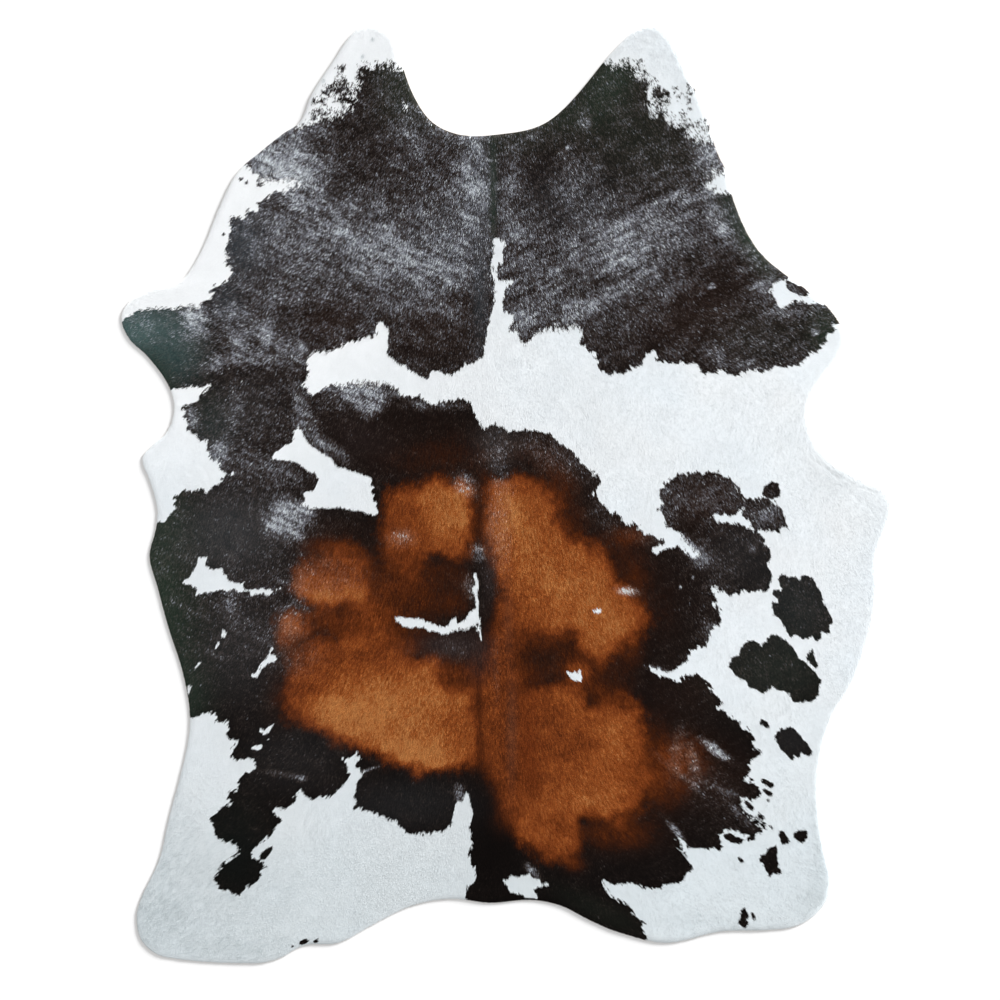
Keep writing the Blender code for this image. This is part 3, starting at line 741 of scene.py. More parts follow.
# %% Brighter and duller tan
TAN_BRIGHT = [  # soft ovals: (x, y, half-length, half-width, turn in degrees, strength)
    (-13, -3, 5, 8, 0, 0.3), (-41, -24.4, 7, 2, 0, 0.5), (-38, -52, 8, 4, -10, 0.95),
    (-22, -61, 10, 3.6, -8, 0.85), (-24, -50, 15, 9, 0, 0.5), (12, -20, 9, 6, -10, 0.35),
    (22, -30, 9, 5, -10, 0.3), (26, -54, 5, 5, 0, 0.3), (20, -72, 10, 4, 0, 0.2), (7, -79, 5, 4, 0, 0.2),
    (1, -6, 4, 9, 0, 0.55), (16, -23, 6, 5, 0, 0.2), (-50.6, -31, 3.6, 3, 0, 0.5),
    (-20, -42, 5, 4, 0, 0.2), (26, -65, 4, 7, 0, 0.15), (-10, -3, 3, 6, 0, 0.6),
]
TAN_DULL = [  # the same columns, as in all the tables of ovals below
    (-48, -44, 6, 9, 0, 0.5), (-40, -37, 13, 5, 0, 0.38), (-42, -17, 9, 5, 0, 0.45),
    (-25, -4, 4, 6, 0, 0.45), (-24, -14, 6, 4, 0, 0.55), (1, -57, 7, 15, 0, 0.65),
    (-41, -18, 8, 4, 0, 0.3), (13.5, -57, 4, 4, 20, 0.5), (11, -52, 3.4, 3, 0, 0.45),
    (0, -21, 3.4, 8, 0, 0.3), (4, -33, 4, 3, 0, 0.5), (-12, -56, 3, 8, 0, 0.2), (13, -78, 5, 3, -20, 0.3),
    (32, -56, 3, 8, 0, 0.35), (-27, -36, 8, 3, 0, 0.4), (30, -68, 4, 6, 0, 0.35), (-50, -17, 3, 5, 0, 0.4),
    (6, -68, 6, 5, 0, 0.4), (7, -2, 4, 6, 0, 0.12), (30, -25, 4, 3, 0, 0.3), (8, -26, 6, 4, 0, 0.15),
    (12, -84, 6, 2, 0, 0.4), (16, -61, 7, 7, 0, 0.3), (19, -58, 2.4, 2, 0, 0.3), (29, -60, 3, 5, 0, 0.2),
    (8, -81, 6, 4, 0, 0.3), (-33, -41, 10, 3, 0, 0.25), (15, -17, 6, 4, 0, 0.15), (-51, -31, 4, 4, 0, 0.5),
    (-49, -38, 5, 5, 0, 0.25), (4, 1.5, 8, 3, 0, 0.25), (6, -45, 8, 5, 0, 0.25), (8, -50, 6, 4, 0, 0.25),
    (25, -50, 5, 4, 0, 0.4), (22, -63, 5, 4, 0, 0.2), (35, -68, 4, 7, 0, 0.35), (3, -76, 4, 4, 0, 0.35),
    (14, -66, 5, 4, 0, 0.12), (6, -62, 5, 6, 0, 0.2), (-25, -39, 13, 3, 0, 0.3), (-23, -8, 6, 7, 0, 0.2),
]
print(len(TAN_BRIGHT), "brighter and", len(TAN_DULL), "duller clouds")

# %% Brown round the tan
BROWN = [  # (x, y, half-length, half-width, turn, how tan at most)
    (-30.5, -22, 4, 9, 0, 0.27), (-24, -20, 6, 4, 0, 0.24), (-33, -30, 9, 5.5, 0, 0.45),
    (-23, -34, 7, 4, 0, 0.31), (-18, -23, 9, 6, 0, 0.2), (-12, -36, 8, 4, 0, 0.14),
    (-12, -42.5, 5, 3.4, 0, 0.40), (-14, -19, 7, 4, 0, 0.2), (-11, -26, 4, 3, 0, 0.16),
    (-43, -12.6, 7, 2.4, 0, 0.25), (-6.3, -4, 2.2, 9, 0, 0.34), (17, -42.6, 2.8, 3, 0, 0.42),
    (-5.5, -52, 3.5, 16, 0, 0.42), (-0.5, -48, 5, 15, 0, 0.5), (-1, -32, 3.5, 8, 0, 0.42),
    (3, -40, 5, 5, 0, 0.16), (17, -40.5, 5, 4, 0, 0.3), (29, -37, 4, 4, 0, 0.26),
    (29, -10, 5, 2.2, 0, 0.24), (27, -15, 8, 6, -30, 0.13), (41, -62, 6, 6, -20, 0.38),
    (38, -70, 5, 5, 0, 0.24), (26, -79.6, 10, 4.6, 0, 0.34), (16, -87, 3, 2, 0, 0.32),
    (-20, 7, 12, 5, 0, 0.12), (12, 3, 6, 5, -30, 0.24), (36.5, -28, 4, 8, 0, 0.08),
    (-40, -9.5, 9, 4, 0, 0.1), (-54, -47, 3.2, 7, 0, 0.14), (-49, -36, 5, 4, 0, 0.32),
    (-43, -29.5, 4, 3, 0, 0.34), (24, -44, 7, 4, 0, 0.22), (22, -48, 6, 3, 0, 0.26),
    (9, -36, 8, 4, 0, 0.30), (-2, -77, 2.4, 4, 0, 0.36), (-9, 10, 10, 6, 0, 0.08), (6, 10, 10, 4, 0, 0.12),
    (9, -42, 8, 4, 0, 0.2), (48, -66, 9, 9, 0, 0.1), (15, -7, 4, 5, 0, 0.2), (24, -8, 14, 8, -35, 0.07),
    (46, -2, 10, 8, 0, 0.09), (40, -28, 9, 14, 0, 0.04), (44, -46, 8, 8, 0, 0.07),
    (-22, 14, 22, 8, 0, 0.06), (-17, 38, 10, 8, 0, 0.06), (-41, 40, 8, 6, 0, 0.07),
    (45, 42, 16, 9, 20, 0.08), (35.5, -62, 3, 9, 0, 0.26), (-20, -25, 9, 5, 0, 0.2),
    (36, -50, 5, 6, 0, 0.04), (30, -22, 4, 6, 0, 0.2),
]
BLACK = [  # where neither tan nor brown shows
    (-15, -22, 6, 4.4, 0, 0.35), (-6.8, -3, 1.3, 10, 0, 0.35), (-6.4, -22, 1.6, 10, 0, 0.7),
    (-4.2, -24, 1.6, 9, 0, 0.5), (-6.4, -50, 0.9, 14, 0, 0.3), (-6.5, -72, 5, 7, 0, 0.85),
    (-4.5, -85, 5.5, 9, 0, 1.0), (-14, -35.3, 8, 2.6, -8, 0.4), (7, -38.4, 6, 3, 0, 0.35),
    (17.8, -77, 1.2, 1.2, 0, 0.7),
]
print(len(BROWN), "brown clouds and", len(BLACK), "black ones over them")

# %% [markdown]
# ## Silver, roan and casts
#
# White hairs mixed one by one among the dark make it silver, in streaks over the shoulders, and a few
# lighter single hairs all over the black are painted glints on the hair. Where a patch ends softly, white
# and dark come in small clumps, which a breeder calls roan. And no black is quite black: it has a green cast
# at the rims of the hide, where the tanner's bath reached it from both sides, a grey or bluish one on the
# flanks, and a reddish one along the back. The same kind of soft ovals says where.

# %% Silver
SILVER = [  # (x, y, half-length, half-width, turn in degrees, strength)
    # the neck and the left shoulder
    (-33, 58, 23, 11, -8, 0.18), (-15, 75, 20, 12, 0, 0.03), (-54, 76, 6.4, 2.6, -20, 1.4),
    (-52, 79.4, 5.4, 3, -30, 0.6), (-48.6, 74, 2.6, 2, 0, 0.8), (-8.4, 73, 3.6, 12, 0, 0.42),
    (1.2, 70, 2.2, 10, 0, 0.16), (-24, 50, 13, 2, -4, 0.18), (-27, 92, 6, 5, 0, 0.03),
    (15, 74, 3.5, 6, 0, 0.10), (-38, 60, 9, 3.4, -24, 0.30), (-27, 56.6, 8, 2.8, -16, 0.34),
    (-29, 63, 8, 2, -28, 0.26), (-18, 54, 8, 3, -14, 0.28), (-13, 60, 7, 3, -20, 0.16),
    (-21, 49.5, 7, 2, -30, 0.16), (-45, 66, 8, 3, -28, 0.26), (-50, 70.4, 4, 1.6, -20, 0.3),
    (-50, 57, 8, 5, 0, 0.14), (-54, 48, 6, 5, -20, 0.10), (-57, 37.6, 1.7, 2.6, 10, 0.5),
    (-63, 36.4, 1.7, 1.7, 20, 0.7), (-52, 34.8, 3, 3, 20, 0.12), (-66, 31.4, 4, 1.4, 20, 0.34),
    (-58, 31.6, 5, 1.6, 5, 0.22), (-48.6, 33, 1.6, 2.4, 0, 0.2), (-65, 41, 6, 3, 0, 0.12),
    (-60, 36, 9, 5, 0, 0.05), (-73.4, 41.6, 2.2, 2.6, 0, 1.3), (-73, 37.6, 2.4, 2, 0, 0.25),
    (-52, 81, 5, 3, -20, 0.5), (-48, 85.5, 4, 1.6, 20, 0.3), (-46, 76, 5, 5, -30, 0.16),
    (-22, 84, 3, 4, 0, 0.12), (-60, 61, 5, 5, 0, 0.05), (-66, 46, 4, 4, 0, 0.05),
    # the left foreleg, and below it
    (-84, 38, 7, 4, 20, 0.06), (-74, 18, 1.6, 3.4, 0, 0.3), (-68, 9.4, 3, 3, -40, 0.4),
    (-64, 18, 1.6, 6, -20, 0.14), (-58, 7, 6, 2.4, 0, 0.16), (-49, 23, 1.6, 5, 8, 0.14),
    (-47, 17, 2.4, 5, 20, 0.18), (-42, 11, 6, 1.4, -36, 0.34), (-38, 22, 5, 3, 0, 0.1),
    (-51.8, -6.2, 3.9, 3.2, -6, 0.95), (-54, -3, 1.6, 2.4, 0, 0.3), (-49.4, -4.4, 3, 2, 20, 0.7),
    (-49.6, -9.4, 2, 1, -30, 0.5), (-62, -30, 8, 9, 0, 0.03), (-64.4, -26, 2, 4, 0, 0.12),
    (-55, 3, 9, 5, 0, 0.05), (-56, 18, 9, 10, 0, 0.03), (-34, 23.8, 5, 2, -6, 1.0),
    (-32.4, 21, 2.6, 2.2, 0, 0.5), (-25, 23.4, 4, 0.8, 0, 0.25), (-42, 24.6, 3, 0.8, 0, 0.25),
    (-18, 21.0, 6, 1.2, 0, 0.25), (-48, -66.8, 0.9, 0.7, 0, 0.4), (-53, -66, 5, 0.8, -10, 0.14),
    (-32.6, -65, 1.8, 0.3, 18, 0.3), (-48, -62, 9, 6, 0, 0.012), (-11, -70.6, 1, 1.8, 15, 0.4),
    # the right shoulder and foreleg
    (22, 57, 22, 10, 16, 0.12), (28.5, 56.6, 5.4, 3.4, 24, 0.55), (33, 57, 3, 2.6, 20, 0.25),
    (24, 60, 8, 4, 24, 0.24), (24.5, 47, 8, 1.6, 32, 0.34), (16, 43, 5, 2.4, 35, 0.30),
    (36, 67.5, 5.4, 1.4, 30, 0.34), (27, 63, 5, 1.4, 28, 0.3), (44, 69.6, 6, 1.4, 6, 0.36),
    (40, 63, 6, 3, 0, 0.2), (47.5, 78, 3, 3.4, 0, 0.5), (49, 66, 1.8, 5, 20, 0.4),
    (51, 62, 5, 1.4, -50, 0.3), (57, 56, 5, 1.6, -42, 0.14), (4, 61, 4, 1.4, 15, 0.26),
    (9, 53, 8, 5, 20, 0.10), (6, 41, 5, 3, 0, 0.24), (14, 48, 8, 2, 30, 0.06), (10, 66, 8, 4, 20, 0.03),
    (20, 68, 6, 3, 10, 0.04), (35, 47, 6, 5, 30, 0.10), (60.5, 47.5, 3, 3, 0, 0.22),
    (66, 42.6, 6, 1.2, 0, 0.12), (60, 35, 3, 2, 0, 0.1), (54, 30.4, 5, 1.4, 0, 0.18),
    (49, 33, 3, 2, 0, 0.14), (72.5, 37.8, 0.8, 0.6, 0, 0.8), (25, 36, 5, 4, 0, 0.03),
    (18.8, 86.8, 1.2, 1.2, 0, 0.3), (14.4, 81.3, 0.4, 0.4, 0, 0.9), (48.4, 48.6, 0.8, 0.6, 0, 0.4),
    # the patch on the right side
    (46, 1, 9, 4.6, 0, 0.10), (38.5, -3, 3, 5, 0, 0.12), (62, -4, 3, 3, 0, 0.10),
    (42.8, -12.6, 3, 1.2, -45, 0.7), (46, -15.6, 2.4, 2, -45, 0.25), (57.5, -13, 1, 0.8, 0, 0.4),
    (60, -5, 4, 2.4, 0, 0.06), (54, -17, 5, 5, 0, 0.03),
    # the saddle
    (-9.6, 2, 2.6, 1.8, -40, 0.46), (-24.8, -10.6, 2.4, 1.6, 0, 0.3), (-6.5, -14, 1.6, 1.6, 0, 0.4),
    (-1.6, -6, 2.4, 11, 0, 0.18), (-42, -20, 8, 5, 0, 0.06), (-3, 11, 3, 4.6, 0, 0.14),
    (28.4, -23, 2.0, 0.8, -8, 1.0), (-10, 1.4, 1.6, 1.4, 0, 0.4), (-51, -31, 3.4, 3.4, 0, 0.22),
    (-49, -38, 5, 4, 0, 0.06), (-48, -22, 3, 4, 0, 0.08), (43.8, -19.8, 0.35, 0.35, 0, 1.0),
    (40.9, -22, 0.3, 0.3, 0, 1.0), (-2.5, -42, 0.8, 7, 0, 0.03), (33, -10.5, 5, 1.6, -20, 0.08),
    (12, 9, 10, 4, -25, 0.08), (-14, -37, 8, 3, 0, 0.03), (24, -5, 6, 3, -40, 0.05),
    (-8.6, -22, 1.4, 3, 20, 0.12), (35, -41.2, 1.8, 0.5, -15, 0.5),
    # the haunch
    (40, -61, 1.6, 5, -10, 0.14), (43.6, -63, 1.2, 4, 10, 0.14), (42, -67, 6, 0.8, -40, 0.14),
    (49, -60.2, 2.7, 0.8, -36, 1.5), (50.6, -69.6, 5.4, 0.7, -25, 0.12), (46, -66.5, 4, 3, -40, 0.03),
    (55, -75.6, 4, 0.8, -45, 0.12), (39.5, -79, 3, 0.6, -50, 0.4), (6, -88.6, 2, 0.7, -45, 0.5),
    (47.6, -31.5, 1.6, 3, 0, 0.08), (50, -71, 8, 7, -40, 0.02),
]
DARKER = [  # where the coat has less silver
    (-33, 82, 8, 12, -10, 0.5), (28, 82, 16, 10, -15, 0.55), (8, 78, 5, 5, 0, 0.45),
    (-3.2, 72, 0.8, 13, 0, 1.0), (-17, 35, 11, 6, 0, 0.5), (42, 42, 15, 7, 20, 0.55),
    (31, 33, 10, 5, 0, 0.35), (-61, 57, 4, 7, 0, 0.5), (-41, 40, 8, 4.4, 0, 0.4), (50, 54, 5, 8, -20, 0.4),
    (-84, 32, 9, 9, 0, 0.8), (55, 52, 4, 5, 0, 0.3), (23, 74, 3, 5, 0, 0.3), (-68, 46, 4, 5, 0, 0.4),
    (-60, 59, 6, 4, 0, 0.5), (8, 73, 6, 8, 0, 0.35), (66, 37, 8, 5, 0, 0.4), (74, 38, 4, 4, 0, 0.6),
    (57, 57, 6, 3, -55, 0.4), (55, 46, 8, 6, 0, 0.35), (16, 68, 12, 6, 0, 0.25), (67, -32, 14, 16, 0, 0.5),
    (56, -18, 6, 6, 0, 0.8), (-6, 48, 3, 12, 0, 0.5), (17, 48, 6, 4, 30, 0.3), (12, 52, 7, 6, 20, 0.35),
    (-3, -82, 8, 14, 0, 1.0), (-63, -88, 8, 8, 0, 0.9), (-67, -10, 12, 11, 0, 0.35),
    (-20, 13, 22, 7, 0, 0.35), (36, -26, 14, 18, 0, 0.3), (-50, 18, 4, 6, 0, 0.4),
    (10, -96, 12, 5, 0, 0.7), (-59, 21, 8, 6, 0, 0.2), (24, 92, 10, 8, -30, 0.2),
]
print(len(SILVER), "silver ovals and", len(DARKER), "darker ones")

# %% Roan
ROAN = [  # where white and dark come in clumps
    (-40, 93, 6, 7, 25, 1.0), (-45, 88, 6, 2.6, 25, 0.9), (-55, 78.4, 8, 3, -12, 0.8),
    (-49, 73, 3, 2, 0, 0.6), (-54, 73.4, 5, 1.8, 0, 0.7), (-30, 100.5, 7, 2, 0, 0.7),
    (29, 99.5, 6, 3, -20, 0.8), (36, 91, 4.4, 5, 0, 1.0), (43, 85.5, 7, 3.4, -24, 1.0),
    (42.5, 93.6, 3, 3, 0, 0.5), (49.5, 73.4, 3.4, 3.6, 0, 0.9), (-74, 43, 3.4, 1.6, 0, 0.6),
    (-66, 54, 1.6, 2.6, 0, 0.4), (10.5, 38.8, 10, 1.6, 2, 0.5), (-43.4, 32.8, 2.6, 1.2, -15, 0.4),
    (-33, 25, 6.4, 1.8, 0, 0.9), (-74.6, 18.6, 1.6, 2.4, 0, 0.4), (-48.2, 21, 2.4, 4, 10, 0.4),
    (-47, -5, 3, 3, 40, 0.4), (-49, -9.4, 2, 1, 0, 0.5), (43, -12.5, 3, 1.4, -45, 0.4),
    (61.5, 47.5, 1.5, 2.4, 0, 0.4), (69, 45.4, 4, 0.8, 0, 0.3), (-86, 43, 5, 1.2, 10, 0.3),
    (-49, 25, 2.4, 2, 0, 0.35), (48, 34, 1, 1.6, 30, 0.2), (-10, -23, 2.4, 2.4, 0, 0.35),
    (-9, -31.5, 3, 1.4, 0, 0.3), (59, -77, 4, 2.4, -30, 0.18), (40.5, -82, 2, 2, 0, 0.3),
    (-25, 90.5, 3, 2, 0, 0.5),
]
print(len(ROAN), "roan ovals")

# %% Casts of the black
CASTS = {  # where the black has another cast: its colour, and ovals like those above
    "green": ((0.024, 0.045, 0.031), [
        (-83, -6, 8, 12, 0, 0.9), (-84, -28, 11, 20, 0, 1.0), (-79, -47, 8, 10, 0, 0.9),
        (-83, 28, 4, 7, 35, 0.8), (0, 89, 22, 5, 0, 0.55), (24, 97, 9, 6, 45, 0.75),
        (-25, 97, 6, 8, 20, 0.45), (30, 84, 16, 11, -20, 0.25), (56.5, 61, 3, 12, 32, 0.85),
        (-3.2, 72, 1.0, 13, 0, 0.9), (22, -98, 12, 3, -25, 0.15), (75, 38, 4, 7, 0, 0.6),
        (62, 37, 13, 7, 0, 0.12), (-70, 17, 5, 7, 0, 0.35), (0, 82, 10, 3, 0, 0.2),
        (63, -41, 14, 9, 0, 0.3), (69, -26, 9, 9, 0, 0.15),
    ]),
    "grey": ((0.040, 0.043, 0.046), [
        (-66, -9, 13, 10, 0, 1.0), (-64, -36, 11, 13, 0, 0.45), (69, -26, 9, 9, 0, 0.25),
        (63, -41, 14, 9, 0, 0.2), (67, -58, 6, 5, 0, 0.3), (56, -14, 8, 8, 0, 0.3),
        (-62, 20, 9, 8, 0, 0.25), (-24, -73, 16, 6, 0, 0.3), (-50, -62, 12, 8, 0, 0.25),
        (-2, 12, 6, 5, 0, 0.35),
    ]),
    "slate": ((0.036, 0.050, 0.062), [
        (-62, 59, 6, 8, 0, 0.85), (-6.2, 48, 1.8, 13, 0, 0.6), (-6, 72, 4, 12, 0, 0.5),
        (-66, 45, 4, 5, 0, 0.6), (-69, 14, 5, 8, 0, 0.4), (69, -26, 9, 9, 0, 0.15),
        (53, 65, 5, 3, -50, 0.3), (-13, 60, 8, 8, 0, 0.25), (14, 68, 12, 8, 0, 0.2),
    ]),
    "plum": ((0.040, 0.027, 0.027), [
        (-13, -35.5, 8, 3, 0, 0.6), (-4, -18, 1.6, 8, 0, 0.5), (-6, -39, 3.4, 5, 0, 0.4),
        (-34, 13, 9, 5, -20, 0.2),
    ]),
    "pitch": ((0.005, 0.0075, 0.0065), [(-64, -82, 9, 14, 0, 0.8)]),
    "rose": ((0.125, 0.048, 0.026), [(1.2, -56, 1.3, 12, 0, 0.5), (0.4, -30, 1.2, 9, 0, 0.3)]),
    "rust": ((0.150, 0.026, 0.004), [(5.4, -59, 3.0, 12, 0, 0.5)]),
    "teal": ((0.082, 0.155, 0.155), [
        (-88, 38, 9, 7, 0, 0.95), (-77, 33, 6, 7, 0, 0.45), (-79, 40, 6, 4, 0, 0.4),
    ]),
}
print("casts:", ", ".join(CASTS))

# %% Worn white
WORN = [  # where the white coat is thin and the grey skin shows
    (-83, -96, 6, 9, -30, 0.7), (-80, -100, 8, 7, 0, 0.6), (-68, -95, 16, 14, 0, 0.34),
    (-60, -107, 20, 3, 0, 0.45), (-78, -80, 6, 14, 10, 0.4), (-55, -92, 26, 14, 0, 0.14),
    (74, -80, 2.6, 20, 0, 0.4), (72, -97, 5, 4, -30, 0.4), (52, -101, 14, 2, -6, 0.26),
    (85, -8, 4, 12, 0, 0.08), (76, 5, 5, 5, 0, 0.26), (36, 104, 8, 8, 0, 0.1), (79, 22, 3, 12, 0, 0.2),
    (-31.5, 106.5, 0.5, 0.4, 0, 1.0), (-33.7, 102.5, 0.5, 0.5, 0, 1.0), (-43, 96.8, 0.5, 0.4, 0, 1.0),
    (45, 96, 4, 8, 20, 0.26), (45.3, -99.1, 0.5, 0.4, 0, 0.8),
]
print(len(WORN), "places where the white is worn")

# %% Reading the ovals


def soft_ovals(table, x, y, sharpness):
    """How much the ovals cover a place, from 0 to 1. One oval gives its strength times e to the minus the
    distance, in half-lengths and half-widths, to a power that sets how sharp its rim is. Together they
    leave uncovered the product of what each leaves."""
    bare = np.ones_like(x)
    for oval_x, oval_y, half_length, half_width, turn, strength in table:
        c, s = np.cos(np.radians(turn)), np.sin(np.radians(turn))
        right, up = x / CM - oval_x, y / CM - oval_y
        along, across = (right * c + up * s) / half_length, (up * c - right * s) / half_width
        bare *= 1 - strength * np.exp(-((along**2 + across**2) ** (sharpness / 2)))
    return 1 - bare


def cast(x, y):
    """How strong the cast of the black is at each place, from 0 to 1, and its colour there: the colours of
    all casts, each weighted by how much its ovals cover."""
    covers = np.stack([soft_ovals(ovals, x, y, sharpness=2.4) for colour, ovals in CASTS.values()])
    colours = np.array([colour for colour, ovals in CASTS.values()])
    weights = covers + 1e-6
    return 1 - (1 - covers).prod(axis=0), weights.T @ colours / weights.sum(axis=0)[:, None]


# %% [markdown]
# ## The colour of one hair
#
# Now everything above comes together: for any places, how white, how tan and how silver a hair growing
# there is. It is asked for the hairs and for the skin below them, so the two always agree. The chance of a
# hair is a random number from -1 to 1 of its own, which sets single hairs apart from their neighbours.

# %% Where the white begins
TUFTS = 5.4 * MM  # how far an edge between two patches strays, tuft by tuft
STRAY = 2.0 * MM  # and from hair to hair
CLUMP = 20.0 * MM  # and where it is roan
SMALL_MARKS = 0.5  # white marks and spots are less ragged than the large patches
SPOT_GROWTH = 1.0 * MM  # hair of a spot lies out over its rim
ROAN_GRAINS = [(0.7, 6, 3), (0.6, 2.6, 4)]  # (strength, grain in mm, seed)


def smooth_step(start, end, value):
    """0 before the start, 1 past the end, and a smooth rise between them."""
    share = ((value - start) / (end - start)).clip(0, 1)
    return share * share * (3 - 2 * share)


def into_white(x, y, chance, across, up):
    """Distance into the white, in metres, negative in the dark: that of the large patches, less the white
    marks, joined with the spots, each pushed to and fro by tufts along the hair. In roan it also goes up
    and down in clumps."""
    tufts = TUFTS * locks(x, y, 4.2 * MM, 1, across, up, 15 * MM) + 0.4 * TUFTS * mottle(x, y, 10 * MM, 2)
    ragged = tufts + STRAY * chance
    large = read(patch_chart, x, y) + ragged
    large = np.maximum(large, -read(white_chart, x, y) + SMALL_MARKS * ragged)
    distance = np.minimum(large, read(spot_chart, x, y) - SPOT_GROWTH + SMALL_MARKS * ragged)
    roan = soft_ovals(ROAN, x, y, sharpness=3.0)
    clumps = mottled(x, y, ROAN_GRAINS) + 0.6 * chance
    return distance + roan * CLUMP * clumps


# %% How tan
TAN_BORDER = 25.0 * MM
PLAIN_TAN = 0.76
BRIGHTER_BY = 0.26
DULLER_BY = 0.34
BORDER_GRAINS = [(12 * MM, 40, 5), (7 * MM, 11, 6)]  # (how far the border strays, grain in mm, seed)


def tan_share(x, y, chance, across, up):
    """From 0, black, to 1, the brightest tan. Inside the areas it is plain tan with its brighter and duller
    clouds, outside them the brown clouds, and both are mottled. The black ones take some of it away."""
    border = mottled(x, y, BORDER_GRAINS) + 9 * MM * chance
    inside = smooth_step(TAN_BORDER, -TAN_BORDER, read(tan_chart, x, y) + border)
    mottling = 0.07 * mottle(x, y, 26 * MM, 7) + 0.10 * locks(x, y, 2.6 * MM, 8, across, up, 8 * MM)
    mottling = mottling + 0.10 * chance
    tone = PLAIN_TAN + BRIGHTER_BY * soft_ovals(TAN_BRIGHT, x, y, sharpness=2.2)
    tone = tone - DULLER_BY * soft_ovals(TAN_DULL, x, y, sharpness=2.2)
    brown = soft_ovals(BROWN, x, y, sharpness=2.4)
    tan = brown * (1 - inside) + inside * tone + mottling * np.maximum(inside, 2 * brown)
    return (tan * (1 - soft_ovals(BLACK, x, y, sharpness=2.6))).clip(0, 1)


# %% How silver
NECK_SILVER = 0.125  # over the whole neck and the shoulders, before the ovals
# the least silver, found anywhere, is mostly lighter hairs painted as glints on the black
LEAST_SILVER = 0.010  # and anywhere else
FRONT_SILVER = 0.008  # more of it from the rump to the middle
SIDE_SILVER = 0.040  # and more at the sides
LESS_ON_LOBES = 0.3
LESS_IN_TAN = 0.85
NECK, LOBES = (16 * CM, 40 * CM), (84 * CM, 96 * CM)  # where these set in, up the rug
RUMP, FLANK = (-60 * CM, -10 * CM), (-62 * CM, -20 * CM)
SIDE = (32 * CM, 54 * CM)  # and away from its middle
HAZE = [(0.7, 32, 10), (0.5, 13, 13)]  # clouds: (strength, grain in mm, seed)
STREAKS = [  # (strength, grain in mm, seed, outwards, towards the neck, length in mm)
    (0.8, 7, 9, 0.88, 0.47, 42), (0.7, 3, 11, 0.91, 0.41, 20),
]
HAIR_GRAIN = 1.9 * MM
STREAK_MEAN, SPARKLE_MEAN = 1.19, 1.34  # the two powers of e below are divided by their means


def silver_share(x, y, chance, tan):
    """The share of light hairs in the dark: white hairs, and in the plain share a few lighter ones that are
    painted glints on the black. It is a plain share for each region, less where the coat is darker, and more
    in the silver ovals. It is multiplied by e to the power of streaks, which run outwards and up from the
    back and are strongest where the silver is strong, and of a grain as fine as hair."""
    side, streaks = np.sign(from_back(x, y)), 0.0
    for strength, grain, seed, outwards, upwards, streak in STREAKS:
        streaks = streaks + strength * locks(x, y, grain * MM, seed, side * outwards, upwards, streak * MM)
    # sparkle: lighter and darker hair by hair, partly white hairs, partly painted glints on the black
    sparkle = np.exp(1.4 * mottle(x, y, HAIR_GRAIN, 12) + 0.9 * chance) / SPARKLE_MEAN
    neck = smooth_step(*NECK, y) * (1 - LESS_ON_LOBES * smooth_step(*LOBES, y))
    side_coat = smooth_step(*SIDE, np.abs(x)) * smooth_step(*FLANK, y)
    plain = LEAST_SILVER + FRONT_SILVER * smooth_step(*RUMP, y) + SIDE_SILVER * side_coat
    plain = plain * (1 - LESS_IN_TAN * smooth_step(0.05, 0.4, tan))
    silver = np.maximum(NECK_SILVER * neck, plain) * (1 - soft_ovals(DARKER, x, y, sharpness=2.4))
    strong = soft_ovals(SILVER, x, y, sharpness=2.2)
    streaked = (0.65 + 1.1 * np.minimum(strong, 0.5)) * streaks + 0.6 * mottled(x, y, HAZE)
    streaked = np.exp(streaked) / STREAK_MEAN
    return (silver + strong) * streaked * sparkle


# %% Markings
def markings(x, y, chance):
    """Per place: distance into the white (metres, negative in the dark), and tan and silver shares. In the
    white, the silver share says how worn the coat is, in locks and clouds."""
    across, up = lay(x, y)
    distance = into_white(x, y, chance, across, up)
    tan = tan_share(x, y, chance, across, up)
    thin = 0.75 + 0.4 * locks(x, y, 5 * MM, 14, across, up, 12 * MM) + 0.25 * mottled(x, y, HAZE)
    worn = soft_ovals(WORN, x, y, sharpness=2.4) * thin
    silver = np.where(distance > 0, worn, silver_share(x, y, chance, tan))
    return distance, tan, silver.clip(0, 2)


star = markings(np.array([-38.0]) * CM, np.zeros(1), np.zeros(1))
print("the star, white, tan and worn:", [round(float(value[0]), 3) for value in star])

# %% [markdown]
# ## How deep the coat is
#
# The solid of the frame says how high the top of the coat lies: higher along the back and on the neck,
# lower on the belly. Its points are few, so their heights are spread over the rug as a weighted average.
# Near the cut the coat rounds off, in the same steps as on the solid. Where the skin was folded as it
# dried there are fine creases. A bump could fake them, but as real height they catch the light as hair.

# %% Heights
SKIN = 2.2 * MM
FULL_DEPTH = 11.5 * MM  # the solid's points further in than this tell the coat's whole depth
COARSE = 2.0 * CM
HEIGHT_REACH = 3.5 * CM

on_top = solid_points[(solid_points[:, 2] > SKIN) & (read(edge_chart, *solid_points[:, :2].T) < -FULL_DEPTH)]
coarse_x = np.arange(NET_LOW[0], -NET_LOW[0], COARSE)
coarse_y = np.arange(NET_LOW[1], -NET_LOW[1], COARSE)
far = (coarse_x[None, :, None] - on_top[:, 0]) ** 2 + (coarse_y[:, None, None] - on_top[:, 1]) ** 2
near_first = np.exp(-(far - far.min(axis=2, keepdims=True)) / (2 * HEIGHT_REACH**2))
coarse_heights = (near_first * on_top[:, 2]).sum(axis=2) / near_first.sum(axis=2)
print("coat top:", round(coarse_heights.min() / MM, 1), "to", round(coarse_heights.max() / MM, 1), "mm")

